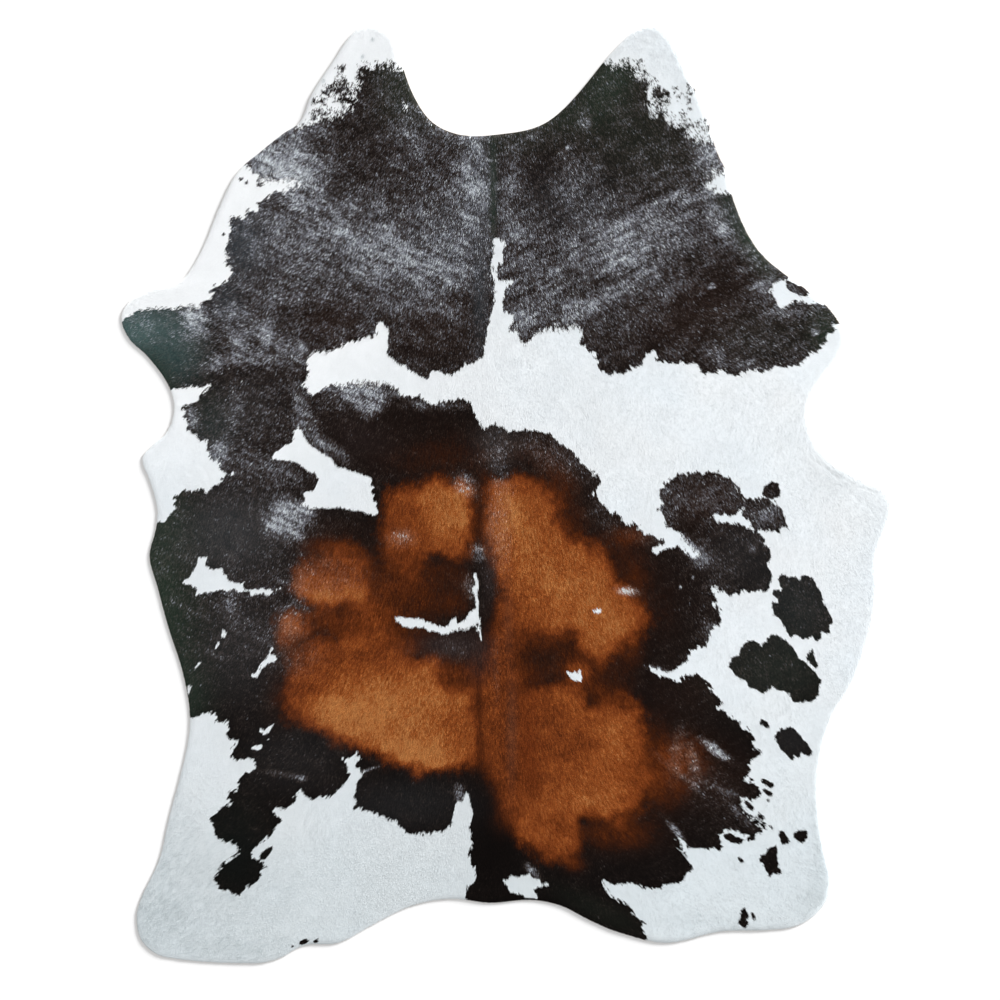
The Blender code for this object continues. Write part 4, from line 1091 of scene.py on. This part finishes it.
# %% Creases and the coat's top
ROUNDING = np.array([(0.0, 0.0), (1.5, 0.45), (5.0, 0.80), (12.0, 1.0)])  # (mm from the cut, share)
CREASES = [  # (x, y, half-length, half-width, turn in degrees, depth in mm)
    (74.5, 6.2, 4.4, 0.35, -36, 0.22), (76.5, 4.6, 3.6, 0.3, -44, 0.2), (79, 3.6, 3, 0.3, -24, 0.2),
    (84.6, 1.0, 2.8, 0.25, -16, 0.3), (85, -3, 3, 0.3, -60, 0.2), (82, -1, 3.4, 0.3, -40, 0.15),
    (68.6, -86.8, 3.6, 0.25, -12, 0.25), (70, -90, 3, 0.3, 10, 0.15), (5, 35.2, 2.2, 0.25, 12, 0.14),
    (6.5, 34, 2.6, 0.25, 8, 0.16), (5.4, 32.8, 2.4, 0.25, 14, 0.14), (8.4, 31.8, 2.2, 0.25, 10, 0.14),
    (9.6, 36.6, 2.2, 0.25, 16, 0.12), (-6, 22, 0.35, 12, 0, 0.16), (-80, -92, 4, 0.4, 40, 0.2),
    (-83, -98, 4, 0.4, 60, 0.2), (-77, -100, 4, 0.4, 20, 0.15), (-85, -90, 3, 0.4, 80, 0.15),
    (-60, 31, 9, 0.4, 10, 0.12), (-80, 6, 3, 0.35, 70, 0.2), (74, -70, 3, 0.3, 80, 0.2),
]


def rounding(x, y):
    """Share of the coat's depth that is left near the cut: 0 on it, 1 from twelve millimetres in."""
    return np.interp(-read(edge_chart, x, y) / MM, ROUNDING[:, 0], ROUNDING[:, 1])


def coat_top(x, y):
    """Height of the coat's top: the skin's thickness, and above it the coat's depth, less the creases,
    times its rounding."""
    height = between(coarse_heights, (x - coarse_x[0]) / COARSE, (y - coarse_y[0]) / COARSE)
    folded = 0.0
    for *fold, fold_depth in CREASES:
        folded = folded + fold_depth * MM * soft_ovals([(*fold, 1.0)], x, y, sharpness=2.0)
    return SKIN + (height - SKIN - folded) * rounding(x, y)


print(len(CREASES), "creases")

# %% [markdown]
# ## The skin
#
# The skin is one closed sheet: a flat suede underside on the floor, the knife's cut, and on top the dense
# undercoat in which the visible hair stands. It is a square net of points, thinned to those inside the
# cut. Points near the cut are moved onto a line just inside it, so the sheet ends in a clean curve, and
# from there a few rings carry it over the rim and down to the floor.

# %% Tools for surfaces


def surface(name, points, faces):
    """A mesh object from an array of points and a list of arrays of faces, one for each number of corners."""
    mesh = bpy.data.meshes.new(name)
    corners = np.concatenate([part.ravel() for part in faces]).astype(np.int32)
    sizes = np.concatenate([np.full(len(part), part.shape[1]) for part in faces])
    mesh.vertices.add(len(points))
    mesh.vertices.foreach_set("co", np.ascontiguousarray(points, np.float32).ravel())
    mesh.loops.add(len(corners))
    mesh.loops.foreach_set("vertex_index", corners)
    mesh.polygons.add(len(sizes))
    mesh.polygons.foreach_set("loop_start", (np.cumsum(sizes) - sizes).astype(np.int32))
    mesh.update(calc_edges=True)
    mesh.validate()
    obj = bpy.data.objects.new(name, mesh)
    bpy.context.scene.collection.objects.link(obj)
    return obj


def slope(x, y):
    """Unit direction straight out of the hide at each place: how the edge's distance grows."""
    step = 1.0 * MM
    across = read(edge_chart, x + step, y) - read(edge_chart, x - step, y)
    up = read(edge_chart, x, y + step) - read(edge_chart, x, y - step)
    length = np.hypot(across, up) + 1e-9
    return across / length, up / length


def onto_ring(x, y, inset):
    """The places moved straight in or out until they lie this far inside the cut."""
    for _ in range(4):
        across, up = slope(x, y)
        miss = read(edge_chart, x, y) + inset
        x, y = x - miss * across, y - miss * up
    return x, y


# %% Points of the sheet
SKIN_PITCH = 6.6 * MM
SHEET_HALF = (0.92, 1.12)  # the net of points reaches this far, past the cut
RIM_INSET = 3.0 * MM
KEPT = 0.32 * SKIN_PITCH  # points at least this far inside the rim's line stay where they are
MOVED = 2.2 * SKIN_PITCH  # others, up to this far outside it, are moved onto it

side_x, side_y = (np.arange(-half, half, SKIN_PITCH) for half in SHEET_HALF)
grid_x, grid_y = (axis.ravel() for axis in np.meshgrid(side_x, side_y))
depth = read(edge_chart, grid_x, grid_y) + RIM_INSET
within = depth < -KEPT
snap = ~within & (depth < MOVED)
grid_x[snap], grid_y[snap] = onto_ring(grid_x[snap], grid_y[snap], RIM_INSET)
number = np.arange(len(grid_x)).reshape(len(side_y), len(side_x))
squares = np.stack([number[:-1, :-1], number[:-1, 1:], number[1:, 1:], number[1:, :-1]], axis=-1)
squares = squares.reshape(-1, 4)
squares = squares[within[squares].any(axis=1)]
used, squares = np.unique(squares, return_inverse=True)
squares = squares.reshape(-1, 4)
sheet_x, sheet_y = grid_x[used], grid_y[used]
rim_edges = open_edges(squares, len(used))
print("sheet:", len(used), "points,", len(squares), "squares,", len(rim_edges), "edges round the rim")

# %% Rings
UNDERCOAT = 1.6 * MM  # the undercoat lies this far below the top of the coat
UNEVEN = 0.25 * MM  # give or take this much
SHEET_LEAST = 2.5 * MM  # and never lower than this
RIM = [  # rings outside the net: (mm in from the cut, height in mm), the first on the hair side
    (1.3, 2.45), (0.25, 2.15), (0.0, 1.85), (0.0, 0.35), (0.3, 0.0),
]

sheet_z = coat_top(sheet_x, sheet_y) - UNDERCOAT * rounding(sheet_x, sheet_y)
sheet_z += UNEVEN * mottle(sheet_x, sheet_y, 16 * MM, 20) * rounding(sheet_x, sheet_y)
rim_points, rim_index = np.unique(rim_edges, return_inverse=True)
rim_index = rim_index.reshape(-1, 2)
points = [np.stack([sheet_x, sheet_y, np.maximum(sheet_z, SHEET_LEAST)], axis=1)]
bands = []
inner = rim_edges
for inset, height in RIM:
    ring_x, ring_y = onto_ring(sheet_x[rim_points], sheet_y[rim_points], inset * MM)
    outer = rim_index + sum(len(part) for part in points)
    points.append(np.stack([ring_x, ring_y, np.full(len(ring_x), height * MM)], axis=1))
    bands.append(np.stack([inner[:, 1], inner[:, 0], outer[:, 0], outer[:, 1]], axis=1))
    inner = outer
skin = surface("hide_skin", np.concatenate(points), [squares, *bands])
print("skin:", len(skin.data.vertices), "points, with", len(RIM), "rings")

# %% Underside
shape = bmesh.new()
shape.from_mesh(skin.data)
open_rim = [edge for edge in shape.edges if edge.is_boundary]
below = bmesh.ops.holes_fill(shape, edges=open_rim, sides=0)["faces"]
bmesh.ops.triangulate(shape, faces=below, ngon_method="BEAUTY")
bmesh.ops.recalc_face_normals(shape, faces=shape.faces)
print("underside: faces before the split", len(below), "and open edges now",
      sum(edge.is_boundary for edge in shape.edges))
shape.to_mesh(skin.data)
shape.free()

# %% [markdown]
# ## The hair
#
# Blender has a hair system of its own, but its curves aren't a mesh, and this rug has to leave Blender as
# one. A hair is also far too thin to model one by one, so each blade here is a lock of a dozen hairs: a
# long thin triangle that grows from the undercoat, lies along the coat and ends in a point. Roots are
# spread by a sequence that never leaves a gap, and every blade has its own length, turn and tilt, so light
# catches each a little differently. Blades that would stick out past the knife's cut are cut short there.

# %% Roots
BLADES = 815_000
PLASTIC = 1.32471795724474602596  # its powers spread places evenly in two directions at once
SPARE_ROOTS = 1.004  # a few more are tried than fit, since some fall on the very edge
ROOT_INSET = 0.4 * MM

box_low, box_high = cut.min(axis=0), cut.max(axis=0)
tries = np.arange(int(BLADES * np.prod(box_high - box_low) / cut_area * SPARE_ROOTS))
root_x = box_low[0] + (tries / PLASTIC % 1) * (box_high - box_low)[0]
root_y = box_low[1] + (tries / PLASTIC**2 % 1) * (box_high - box_low)[1]
rooted = read(edge_chart, root_x, root_y) < -ROOT_INSET
root_x, root_y = root_x[rooted][:BLADES], root_y[rooted][:BLADES]
count = len(root_x)
print("roots:", count, "or", round(count / cut_area / 1e4, 1), "for each square centimetre")

# %% Which way and how far each blade lies
BLADE_LENGTH = 7.2 * MM
LENGTH_SPREAD, LENGTHS = 0.18, (0.6, 1.5)  # the usual share more or less, and the limits
SWIRL = [(np.radians(9), 55, 30), (np.radians(11), 9, 31)]  # (turn, grain in mm, seed)
OWN_TURN = np.radians(6)
OVERHANG = 1.6 * MM  # how far hair may stand past the cut edge
SHORTEST = 0.15  # share of its length that a blade at the edge keeps at least

luck = np.random.default_rng(77)
across, up = lay(root_x, root_y)
swirl = mottled(root_x, root_y, SWIRL) + OWN_TURN * luck.standard_normal(count)
across, up = across * np.cos(swirl) - up * np.sin(swirl), across * np.sin(swirl) + up * np.cos(swirl)
length = BLADE_LENGTH * (1 + LENGTH_SPREAD * luck.standard_normal(count)).clip(*LENGTHS)
at_root = read(edge_chart, root_x, root_y)
past = read(edge_chart, root_x + length * across, root_y + length * up)
room_left = ((OVERHANG - at_root) / np.maximum(past - at_root, 1e-6)).clip(SHORTEST, 1)
length = np.where(past > OVERHANG, length * room_left, length)
tip_x, tip_y = root_x + length * across, root_y + length * up
print("blades:", round(length.min() / MM, 1), "to", round(length.max() / MM, 1), "mm long")

# %% Blades
BLADE_WIDTH = 1.8 * MM
ROLL = np.tan(np.radians(9))  # the usual slope of a blade from side to side
ROOT_DEPTH = 0.25 * MM  # roots stand this deep in the undercoat
ROOT_LEAST = 2.1 * MM  # and no lower than this
WIDTHS = (0.75, 1.25)  # from the narrowest to the widest, as shares
TIPS = (-0.6, 0.2)  # tips end between these heights above the coat's top, in mm

half_width = BLADE_WIDTH / 2 * luck.uniform(*WIDTHS, count)
roll = ROLL * luck.standard_normal(count).clip(-2, 2)
soft = rounding(root_x, root_y)
root_z = np.maximum(coat_top(root_x, root_y) - (UNDERCOAT + ROOT_DEPTH) * soft, ROOT_LEAST)
tip_z = coat_top(tip_x, tip_y) + luck.uniform(*TIPS, count) * MM * (0.35 + 0.65 * soft)
left = np.stack([root_x - half_width * up, root_y + half_width * across, root_z - half_width * roll], axis=1)
right = np.stack([root_x + half_width * up, root_y - half_width * across, root_z + half_width * roll], axis=1)
tip = np.stack([tip_x, tip_y, tip_z], axis=1)
corners = np.stack([left, right, tip], axis=1)
print("highest tip:", round(tip_z.max() / MM, 1), "mm")

# %% Colours of the blades
SEEN = 0.55  # the share of its length, from the root, at which a blade is mostly seen

chance = luck.uniform(-1, 1, count)
seen_x, seen_y = root_x + SEEN * length * across, root_y + SEEN * length * up
white_at, tan, silver = markings(seen_x, seen_y, chance)
cast_share, cast_colour = cast(seen_x, seen_y)
white = (white_at > 0).astype(float)
silvered = (silver * (0.45 + 0.55 * luck.exponential(1.0, count))).clip(0, 2)
marking = np.stack([white, tan, silvered], axis=1)
strand = np.stack([luck.random(count), np.zeros(count), cast_share], axis=1)
print("white:", round(white.mean(), 3), " tan:", round((tan > 0.5).mean(), 3), " silver:",
      round((silvered > 0.1).mean(), 3))

# %% [markdown]
# ## Which way the blades face
#
# Flat triangles would each flash like a tile of glass. Real hairs are round, and a coat shades mostly like
# the smooth surface that it makes together. So each blade is given a normal that is part its own and part
# the coat's. White hair is finer and lies smoother, so its own part is smaller. Blender 4.5 reads a mesh's
# own normals from the attribute custom_normal, where the next step stores them.

# %% Which way the blades face the light
OWN_TILT = 0.3  # a dark blade's own share in its normal
WHITE_OWN_TILT = 0.19


def unit(vectors):
    """The vectors, each divided by its length."""
    return vectors / np.linalg.norm(vectors, axis=1, keepdims=True)


net_tops = coat_top(*np.meshgrid(net_x, net_y))
rise_y, rise_x = np.gradient(net_tops, NET)
own = unit(np.cross(right - left, tip - left))
falls = [-read(rise, root_x, root_y) for rise in (rise_x, rise_y)]
smooth = unit(np.stack([*falls, np.ones(count)], axis=1))
own_share = np.where(white > 0, WHITE_OWN_TILT, OWN_TILT)[:, None]
facing = unit(own_share * own + (1 - own_share) * smooth)
print("blades facing up:", round(float(facing[:, 2].mean()), 4), "of 1 on average")

# %% [markdown]
# ## Hair in five strips
#
# The blades become five objects, cut lengthwise like the hide itself would be: two flanks, two sides and
# the back. Each holds a fifth of them. In its UV map every blade has a small cell of its own, row by row,
# so that a colour baked into a picture still belongs to one blade only.

# %% Make the strips
STRIPS = ["hair_left_flank", "hair_left_side", "hair_back", "hair_right_side", "hair_right_flank"]
CELL = np.array([(0.03, 0.03), (0.97, 0.03), (0.5, 0.97)])  # a blade's corners in its cell
ALONG_BLADE = 1  # the column of a strand that is 0 at the root and 1 at the tip


def put(mesh, name, values):
    """Stores a row of three numbers for each point under this name, for the materials to read."""
    stored = mesh.attributes.new(name, "FLOAT_VECTOR", "POINT")
    stored.data.foreach_set("vector", np.ascontiguousarray(values, np.float32).ravel())


cuts = np.quantile(root_x, np.linspace(0, 1, len(STRIPS) + 1)[1:-1])
strip_of = np.searchsorted(cuts, root_x)
strips = []
for index, strip_name in enumerate(STRIPS):
    mine = np.nonzero(strip_of == index)[0]
    cells_wide = int(np.ceil(len(mine) ** 0.5))
    mine = mine[np.argsort(root_y[mine])]
    row = np.arange(len(mine)) // cells_wide
    mine = mine[np.lexsort((root_x[mine], row))]
    strip = surface(strip_name, corners[mine].reshape(-1, 3), [np.arange(len(mine) * 3).reshape(-1, 3)])
    strands = np.repeat(strand[mine], 3, axis=0)
    strands[2::3, ALONG_BLADE] = 1.0
    put(strip.data, "marking", np.repeat(marking[mine], 3, axis=0))
    put(strip.data, "strand", strands)
    put(strip.data, "cast", np.repeat(cast_colour[mine], 3, axis=0))
    put(strip.data, "custom_normal", np.repeat(facing[mine], 3, axis=0))
    cell = np.stack([np.arange(len(mine)) % cells_wide, row], axis=1)
    places = (cell[:, None] + CELL[None]) / cells_wide
    strip.data.uv_layers.new(name="OFBake").data.foreach_set("uv", places.astype(np.float32).ravel())
    strips.append(strip)
    print(strip_name, len(strip.data.polygons), "blades")

# %% The skin's own markings
SKIN_BLEND = 5.0 * MM  # on the skin, white goes over into dark this softly
SKIN_SILVER = 0.6  # less silver shows on the undercoat than on the hair

skin_at = np.empty(len(skin.data.vertices) * 3)
skin.data.vertices.foreach_get("co", skin_at)
skin_x, skin_y, _ = skin_at.reshape(-1, 3).T
still = np.zeros(len(skin_x))
skin_white, skin_tan, skin_silver = markings(skin_x, skin_y, still)
skin_cast, skin_cast_colour = cast(skin_x, skin_y)
skin_white = smooth_step(-SKIN_BLEND, SKIN_BLEND, skin_white)
put(skin.data, "marking", np.stack([skin_white, skin_tan, SKIN_SILVER * skin_silver], axis=1))
put(skin.data, "strand", np.stack([still + 0.5, still + 0.5, skin_cast], axis=1))
put(skin.data, "cast", skin_cast_colour)
print("white skin:", round(skin_white.mean(), 3))

# %% [markdown]
# ## Colour of the coat, as a shader group
#
# Hair and undercoat share one recipe, so it is a node group, fed with the numbers stored on each point. It
# has three steps: the dark coat is a ramp from black to tan with its cast and silver mixed in, the white
# coat has its own tints, with painted shade towards the hind end and painted light on the left shoulder
# and neck, and a mask lays the white over the dark. Last comes a little light and dark from blade to
# blade, and a darkening towards each blade's root, partly hair that is paler at the tip and partly
# painted shade under the coat. The group puts out a colour only, and the shader stays in each material.

# %% Tools for nodes
MIX_FACTOR, MIX_FIRST, MIX_SECOND, MIX_COLOUR = 0, 6, 7, 2  # a colour mix's sockets, and its output


def node(tree, kind, **settings):
    """A new node of this kind, with its own settings."""
    made = tree.nodes.new(kind)
    for setting, value in settings.items():
        setattr(made, setting, value)
    return made


def mixed(tree, factor, first, second, blend="MIX"):
    """The output of a colour mix of two sockets or colours, by a factor that is a socket or a number."""
    mix = node(tree, "ShaderNodeMix", data_type="RGBA", blend_type=blend)
    for place, value in ((MIX_FACTOR, factor), (MIX_FIRST, first), (MIX_SECOND, second)):
        if isinstance(value, bpy.types.NodeSocket):
            tree.links.new(value, mix.inputs[place])
        else:
            mix.inputs[place].default_value = value
    return mix.outputs[MIX_COLOUR]


def worked(tree, operation, first, second, clamp=False):
    """The output of a sum or a product of two sockets."""
    made = node(tree, "ShaderNodeMath", operation=operation, use_clamp=clamp)
    tree.links.new(first, made.inputs[0])
    tree.links.new(second, made.inputs[1])
    return made.outputs[0]


def ranged(tree, value, low, high, to_low, to_high, smooth=False):
    """The output of a node that takes one range to another, clamped."""
    made = node(tree, "ShaderNodeMapRange", interpolation_type="SMOOTHSTEP" if smooth else "LINEAR")
    tree.links.new(value, made.inputs["Value"])
    for socket, number in zip(("From Min", "From Max", "To Min", "To Max"), (low, high, to_low, to_high)):
        made.inputs[socket].default_value = number
    return made.outputs[0]


def noise(tree, place, scale, detail=3.0, roughness=0.55):
    """The value of a noise of this many grains to a metre."""
    made = node(tree, "ShaderNodeTexNoise")
    tree.links.new(place, made.inputs["Vector"])
    made.inputs["Scale"].default_value = scale
    made.inputs["Detail"].default_value = detail
    made.inputs["Roughness"].default_value = roughness
    return made.outputs["Fac"]


def split(tree, vector):
    """The three numbers of a vector socket."""
    made = node(tree, "ShaderNodeSeparateXYZ")
    tree.links.new(vector, made.inputs[0])
    return made.outputs


# %% The group and what goes in
coat_group = bpy.data.node_groups.new("coat_colour", "ShaderNodeTree")
for socket_name in ("Marking", "Strand", "Cast", "Place"):
    coat_group.interface.new_socket(socket_name, in_out="INPUT", socket_type="NodeSocketVector")
coat_group.interface.new_socket("Colour", in_out="OUTPUT", socket_type="NodeSocketColor")
group_in = node(coat_group, "NodeGroupInput")
group_out = node(coat_group, "NodeGroupOutput")
place = group_in.outputs["Place"]
white_share, tan_of, silver_of = split(coat_group, group_in.outputs["Marking"])
random_share, tip_share, cast_of = split(coat_group, group_in.outputs["Strand"])
place_x, place_y, _ = split(coat_group, place)
grain = ranged(coat_group, noise(coat_group, place, 680.0, 1.0), 0.32, 0.68, 0.1, 1.9)
print("the group takes", ", ".join(socket.name for socket in group_in.outputs if socket.name))

# %% The dark coat: black to tan, and its cast
TAN_RAMP = [  # (tan, colour)
    (0.00, (0.0038, 0.0022, 0.0018)),
    (0.12, (0.0130, 0.0046, 0.0024)),
    (0.30, (0.0560, 0.0125, 0.0023)),
    (0.50, (0.1550, 0.0330, 0.0060)),
    (0.70, (0.3000, 0.0690, 0.0130)),
    (0.85, (0.4300, 0.1200, 0.0250)),
    (1.00, (0.5900, 0.2400, 0.0720)),
]

ramp = node(coat_group, "ShaderNodeValToRGB")
while len(ramp.color_ramp.elements) < len(TAN_RAMP):
    ramp.color_ramp.elements.new(0.5)
for element, (position, colour) in zip(ramp.color_ramp.elements, TAN_RAMP):
    element.position = position
    element.color = (*colour, 1.0)
tan_grain = worked(coat_group, "MULTIPLY", tan_of, ranged(coat_group, grain, 0.1, 1.9, 0.84, 1.16))
coat_group.links.new(tan_grain, ramp.inputs[0])
tinted = ranged(coat_group, cast_of, 0, 1, 0, 0.95)
dark = mixed(coat_group, tinted, ramp.outputs[0], group_in.outputs["Cast"])
print("ramp:", len(TAN_RAMP), "colours")

# %% Silver in the dark
FIRST_SILVER = (0.50, 0.36, 0.30, 1)  # few white hairs among the black look brownish
MORE_SILVER = (0.59, 0.62, 0.72, 1)
SILVER_IN_TAN = (0.72, 0.44, 0.31, 1)
NEARLY_WHITE = (0.84, 0.90, 0.93, 1)
BLACK_HAIR = (0, 0, 0, 1)

speckled = worked(coat_group, "MULTIPLY", silver_of, grain, clamp=True)
silvery = mixed(coat_group, ranged(coat_group, silver_of, 0.05, 0.26, 0, 1), FIRST_SILVER, MORE_SILVER)
silvery = mixed(coat_group, ranged(coat_group, tan_of, 0.08, 0.4, 0, 1), silvery, SILVER_IN_TAN)
silvery = mixed(coat_group, ranged(coat_group, silver_of, 0.5, 1.3, 0, 1), silvery, NEARLY_WHITE)
dark = mixed(coat_group, speckled, dark, silvery)
dark = mixed(coat_group, 0.085, dark, BLACK_HAIR)
print("nodes so far:", len(coat_group.nodes))

# %% The white coat
WARM_WHITE = (0.86, 0.886, 0.902, 1)
COOL_WHITE = (0.84, 0.886, 0.917, 1)
# the white goes greyer towards the hind end: painted shade
HIND_SHADED_WHITE = (0.595, 0.66, 0.685, 1)  # of the hind legs
# the white of the left shoulder and neck is painted brighter: painted light
NECK_LIT_WHITE = (0.965, 0.985, 1.0, 1)  # of the left shoulder and neck
BARE_SKIN = (0.44, 0.50, 0.52, 1)  # that shows where the white is worn

towards_neck = ranged(coat_group, place_y, -0.12, 0.38, 0, 1, smooth=True)
towards_left = ranged(coat_group, place_x, 0.30, -0.60, 0, 1, smooth=True)
hind = ranged(coat_group, place_y, -0.25, -1.05, 0, 1, smooth=True)
tints = ranged(coat_group, noise(coat_group, place, 3.0), 0.35, 0.65, 0, 1)
pale = mixed(coat_group, tints, WARM_WHITE, COOL_WHITE)
pale = mixed(coat_group, ranged(coat_group, hind, 0, 1, 0, 0.55), pale, HIND_SHADED_WHITE)
pale = mixed(coat_group, worked(coat_group, "MULTIPLY", towards_neck, towards_left), pale, NECK_LIT_WHITE)
pale = mixed(coat_group, ranged(coat_group, silver_of, 0, 1, 0, 0.8), pale, BARE_SKIN)
print("nodes so far:", len(coat_group.nodes))

# %% White over dark
fray = ranged(coat_group, noise(coat_group, place, 420.0), 0.2, 0.8, -0.3, 0.3)
is_white = ranged(coat_group, worked(coat_group, "ADD", white_share, fray), 0.42, 0.58, 0, 1)
coat = mixed(coat_group, is_white, dark, pale)
print("nodes so far:", len(coat_group.nodes))

# %% From blade to blade
lightness = worked(coat_group, "MULTIPLY", ranged(coat_group, random_share, 0, 1, 0.70, 1.30),
                   ranged(coat_group, grain, 0.1, 1.9, 0.7, 1.3))
lightness_colour = node(coat_group, "ShaderNodeCombineColor")
for channel in lightness_colour.inputs:
    coat_group.links.new(lightness, channel)
varied = mixed(coat_group, 1.0, coat, lightness_colour.outputs[0], blend="MULTIPLY")
calm = mixed(coat_group, ranged(coat_group, is_white, 0, 1, 1.0, 0.08), coat, varied)
# each blade darker towards its root: partly hair that is paler at the tip, partly painted shade under the
# coat
shaded = mixed(coat_group, ranged(coat_group, tip_share, 0, 1, 0.3, 0.0), calm, BLACK_HAIR)
finished = mixed(coat_group, ranged(coat_group, is_white, 0, 1, 1, 0.1), calm, shaded)
coat_group.links.new(finished, group_out.inputs[0])
print("nodes in the group:", len(coat_group.nodes))

# %% [markdown]
# ## The materials
#
# Hair is smooth and only a little glossy, and the glints on single blades come from the way each one faces,
# and from lighter hairs painted into the dark coat.
# The undercoat has the same colour and is matt. The flesh side is suede, pale and fuzzy, with faint veins,
# and the cut is bare leather.

# %% Hair and undercoat


def coat_material(name, **values):
    """A material whose colour is the coat group, read from the piece's own attributes."""
    material, shader = principled(name, **values)
    tree = material.node_tree
    group = node(tree, "ShaderNodeGroup", node_tree=coat_group)
    for attribute in ("marking", "strand", "cast"):
        stored = node(tree, "ShaderNodeAttribute", attribute_name=attribute)
        tree.links.new(stored.outputs["Vector"], group.inputs[attribute.capitalize()])
    coordinates = node(tree, "ShaderNodeTexCoord")
    tree.links.new(coordinates.outputs["Object"], group.inputs["Place"])
    tree.links.new(group.outputs["Colour"], shader.inputs["Base Color"])
    return material


hair_material = coat_material("cow_hair", Roughness=0.45, Specular_IOR_Level=0.05)
undercoat_material = coat_material("undercoat", Roughness=0.8, Specular_IOR_Level=0.05)
for strip in strips:
    strip.data.materials.append(hair_material)
print("materials that use the group:", coat_group.users)

# %% Suede and cut edge
SUEDE = (0.62, 0.53, 0.42, 1)
SUEDE_DARK = (0.47, 0.38, 0.29, 1)
CUT = (0.42, 0.31, 0.22, 1)
FUZZ_HEIGHT = 0.4 * MM


def leather(name, first, second, patches, fuzz):
    """Bare leather: two tones in soft patches, and a fine fuzz raised by a bump."""
    material, shader = principled(name, Roughness=0.95, Specular_IOR_Level=0.15)
    tree = material.node_tree
    at = node(tree, "ShaderNodeTexCoord").outputs["Object"]
    tone = ranged(tree, noise(tree, at, patches, 6.0, 0.6), 0.35, 0.7, 0, 1)
    tree.links.new(mixed(tree, tone, first, second), shader.inputs["Base Color"])
    bump = node(tree, "ShaderNodeBump")
    bump.inputs["Strength"].default_value = 0.4
    bump.inputs["Distance"].default_value = FUZZ_HEIGHT
    tree.links.new(noise(tree, at, fuzz, 4.0, 0.7), bump.inputs["Height"])
    tree.links.new(bump.outputs["Normal"], shader.inputs["Normal"])
    return material


suede_material = leather("suede", SUEDE, SUEDE_DARK, 9.0, 900.0)
cut_material = leather("cut_leather", CUT, SUEDE, 60.0, 1500.0)
print("leather:", suede_material.name, "and", cut_material.name)

# %% Which faces are which
ON_HAIR_SIDE, BELOW, ON_THE_CUT = 0, 1, 2  # the order of the skin's materials
FACES_DOWN = -0.3
CUT_TOP = 2.0 * MM

middles = np.empty(len(skin.data.polygons) * 3)
normals = np.empty(len(skin.data.polygons) * 3)
skin.data.polygons.foreach_get("center", middles)
skin.data.polygons.foreach_get("normal", normals)
height, upwards = middles[2::3], normals[2::3]
kind = np.where(upwards < FACES_DOWN, BELOW, np.where(height < CUT_TOP, ON_THE_CUT, ON_HAIR_SIDE))
for material in (undercoat_material, suede_material, cut_material):
    skin.data.materials.append(material)
skin.data.polygons.foreach_set("material_index", kind.astype(np.int32))
skin.data.polygons.foreach_set("use_smooth", kind == ON_HAIR_SIDE)
print("faces of undercoat, suede and cut:", np.bincount(kind).tolist())

# %% [markdown]
# ## Hand over to the frame
#
# The skin stands for the solid of the frame, and everything lies on its one body.

# %% Ride and replace
for piece in [skin, *strips]:
    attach(piece, "root")
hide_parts("hide")
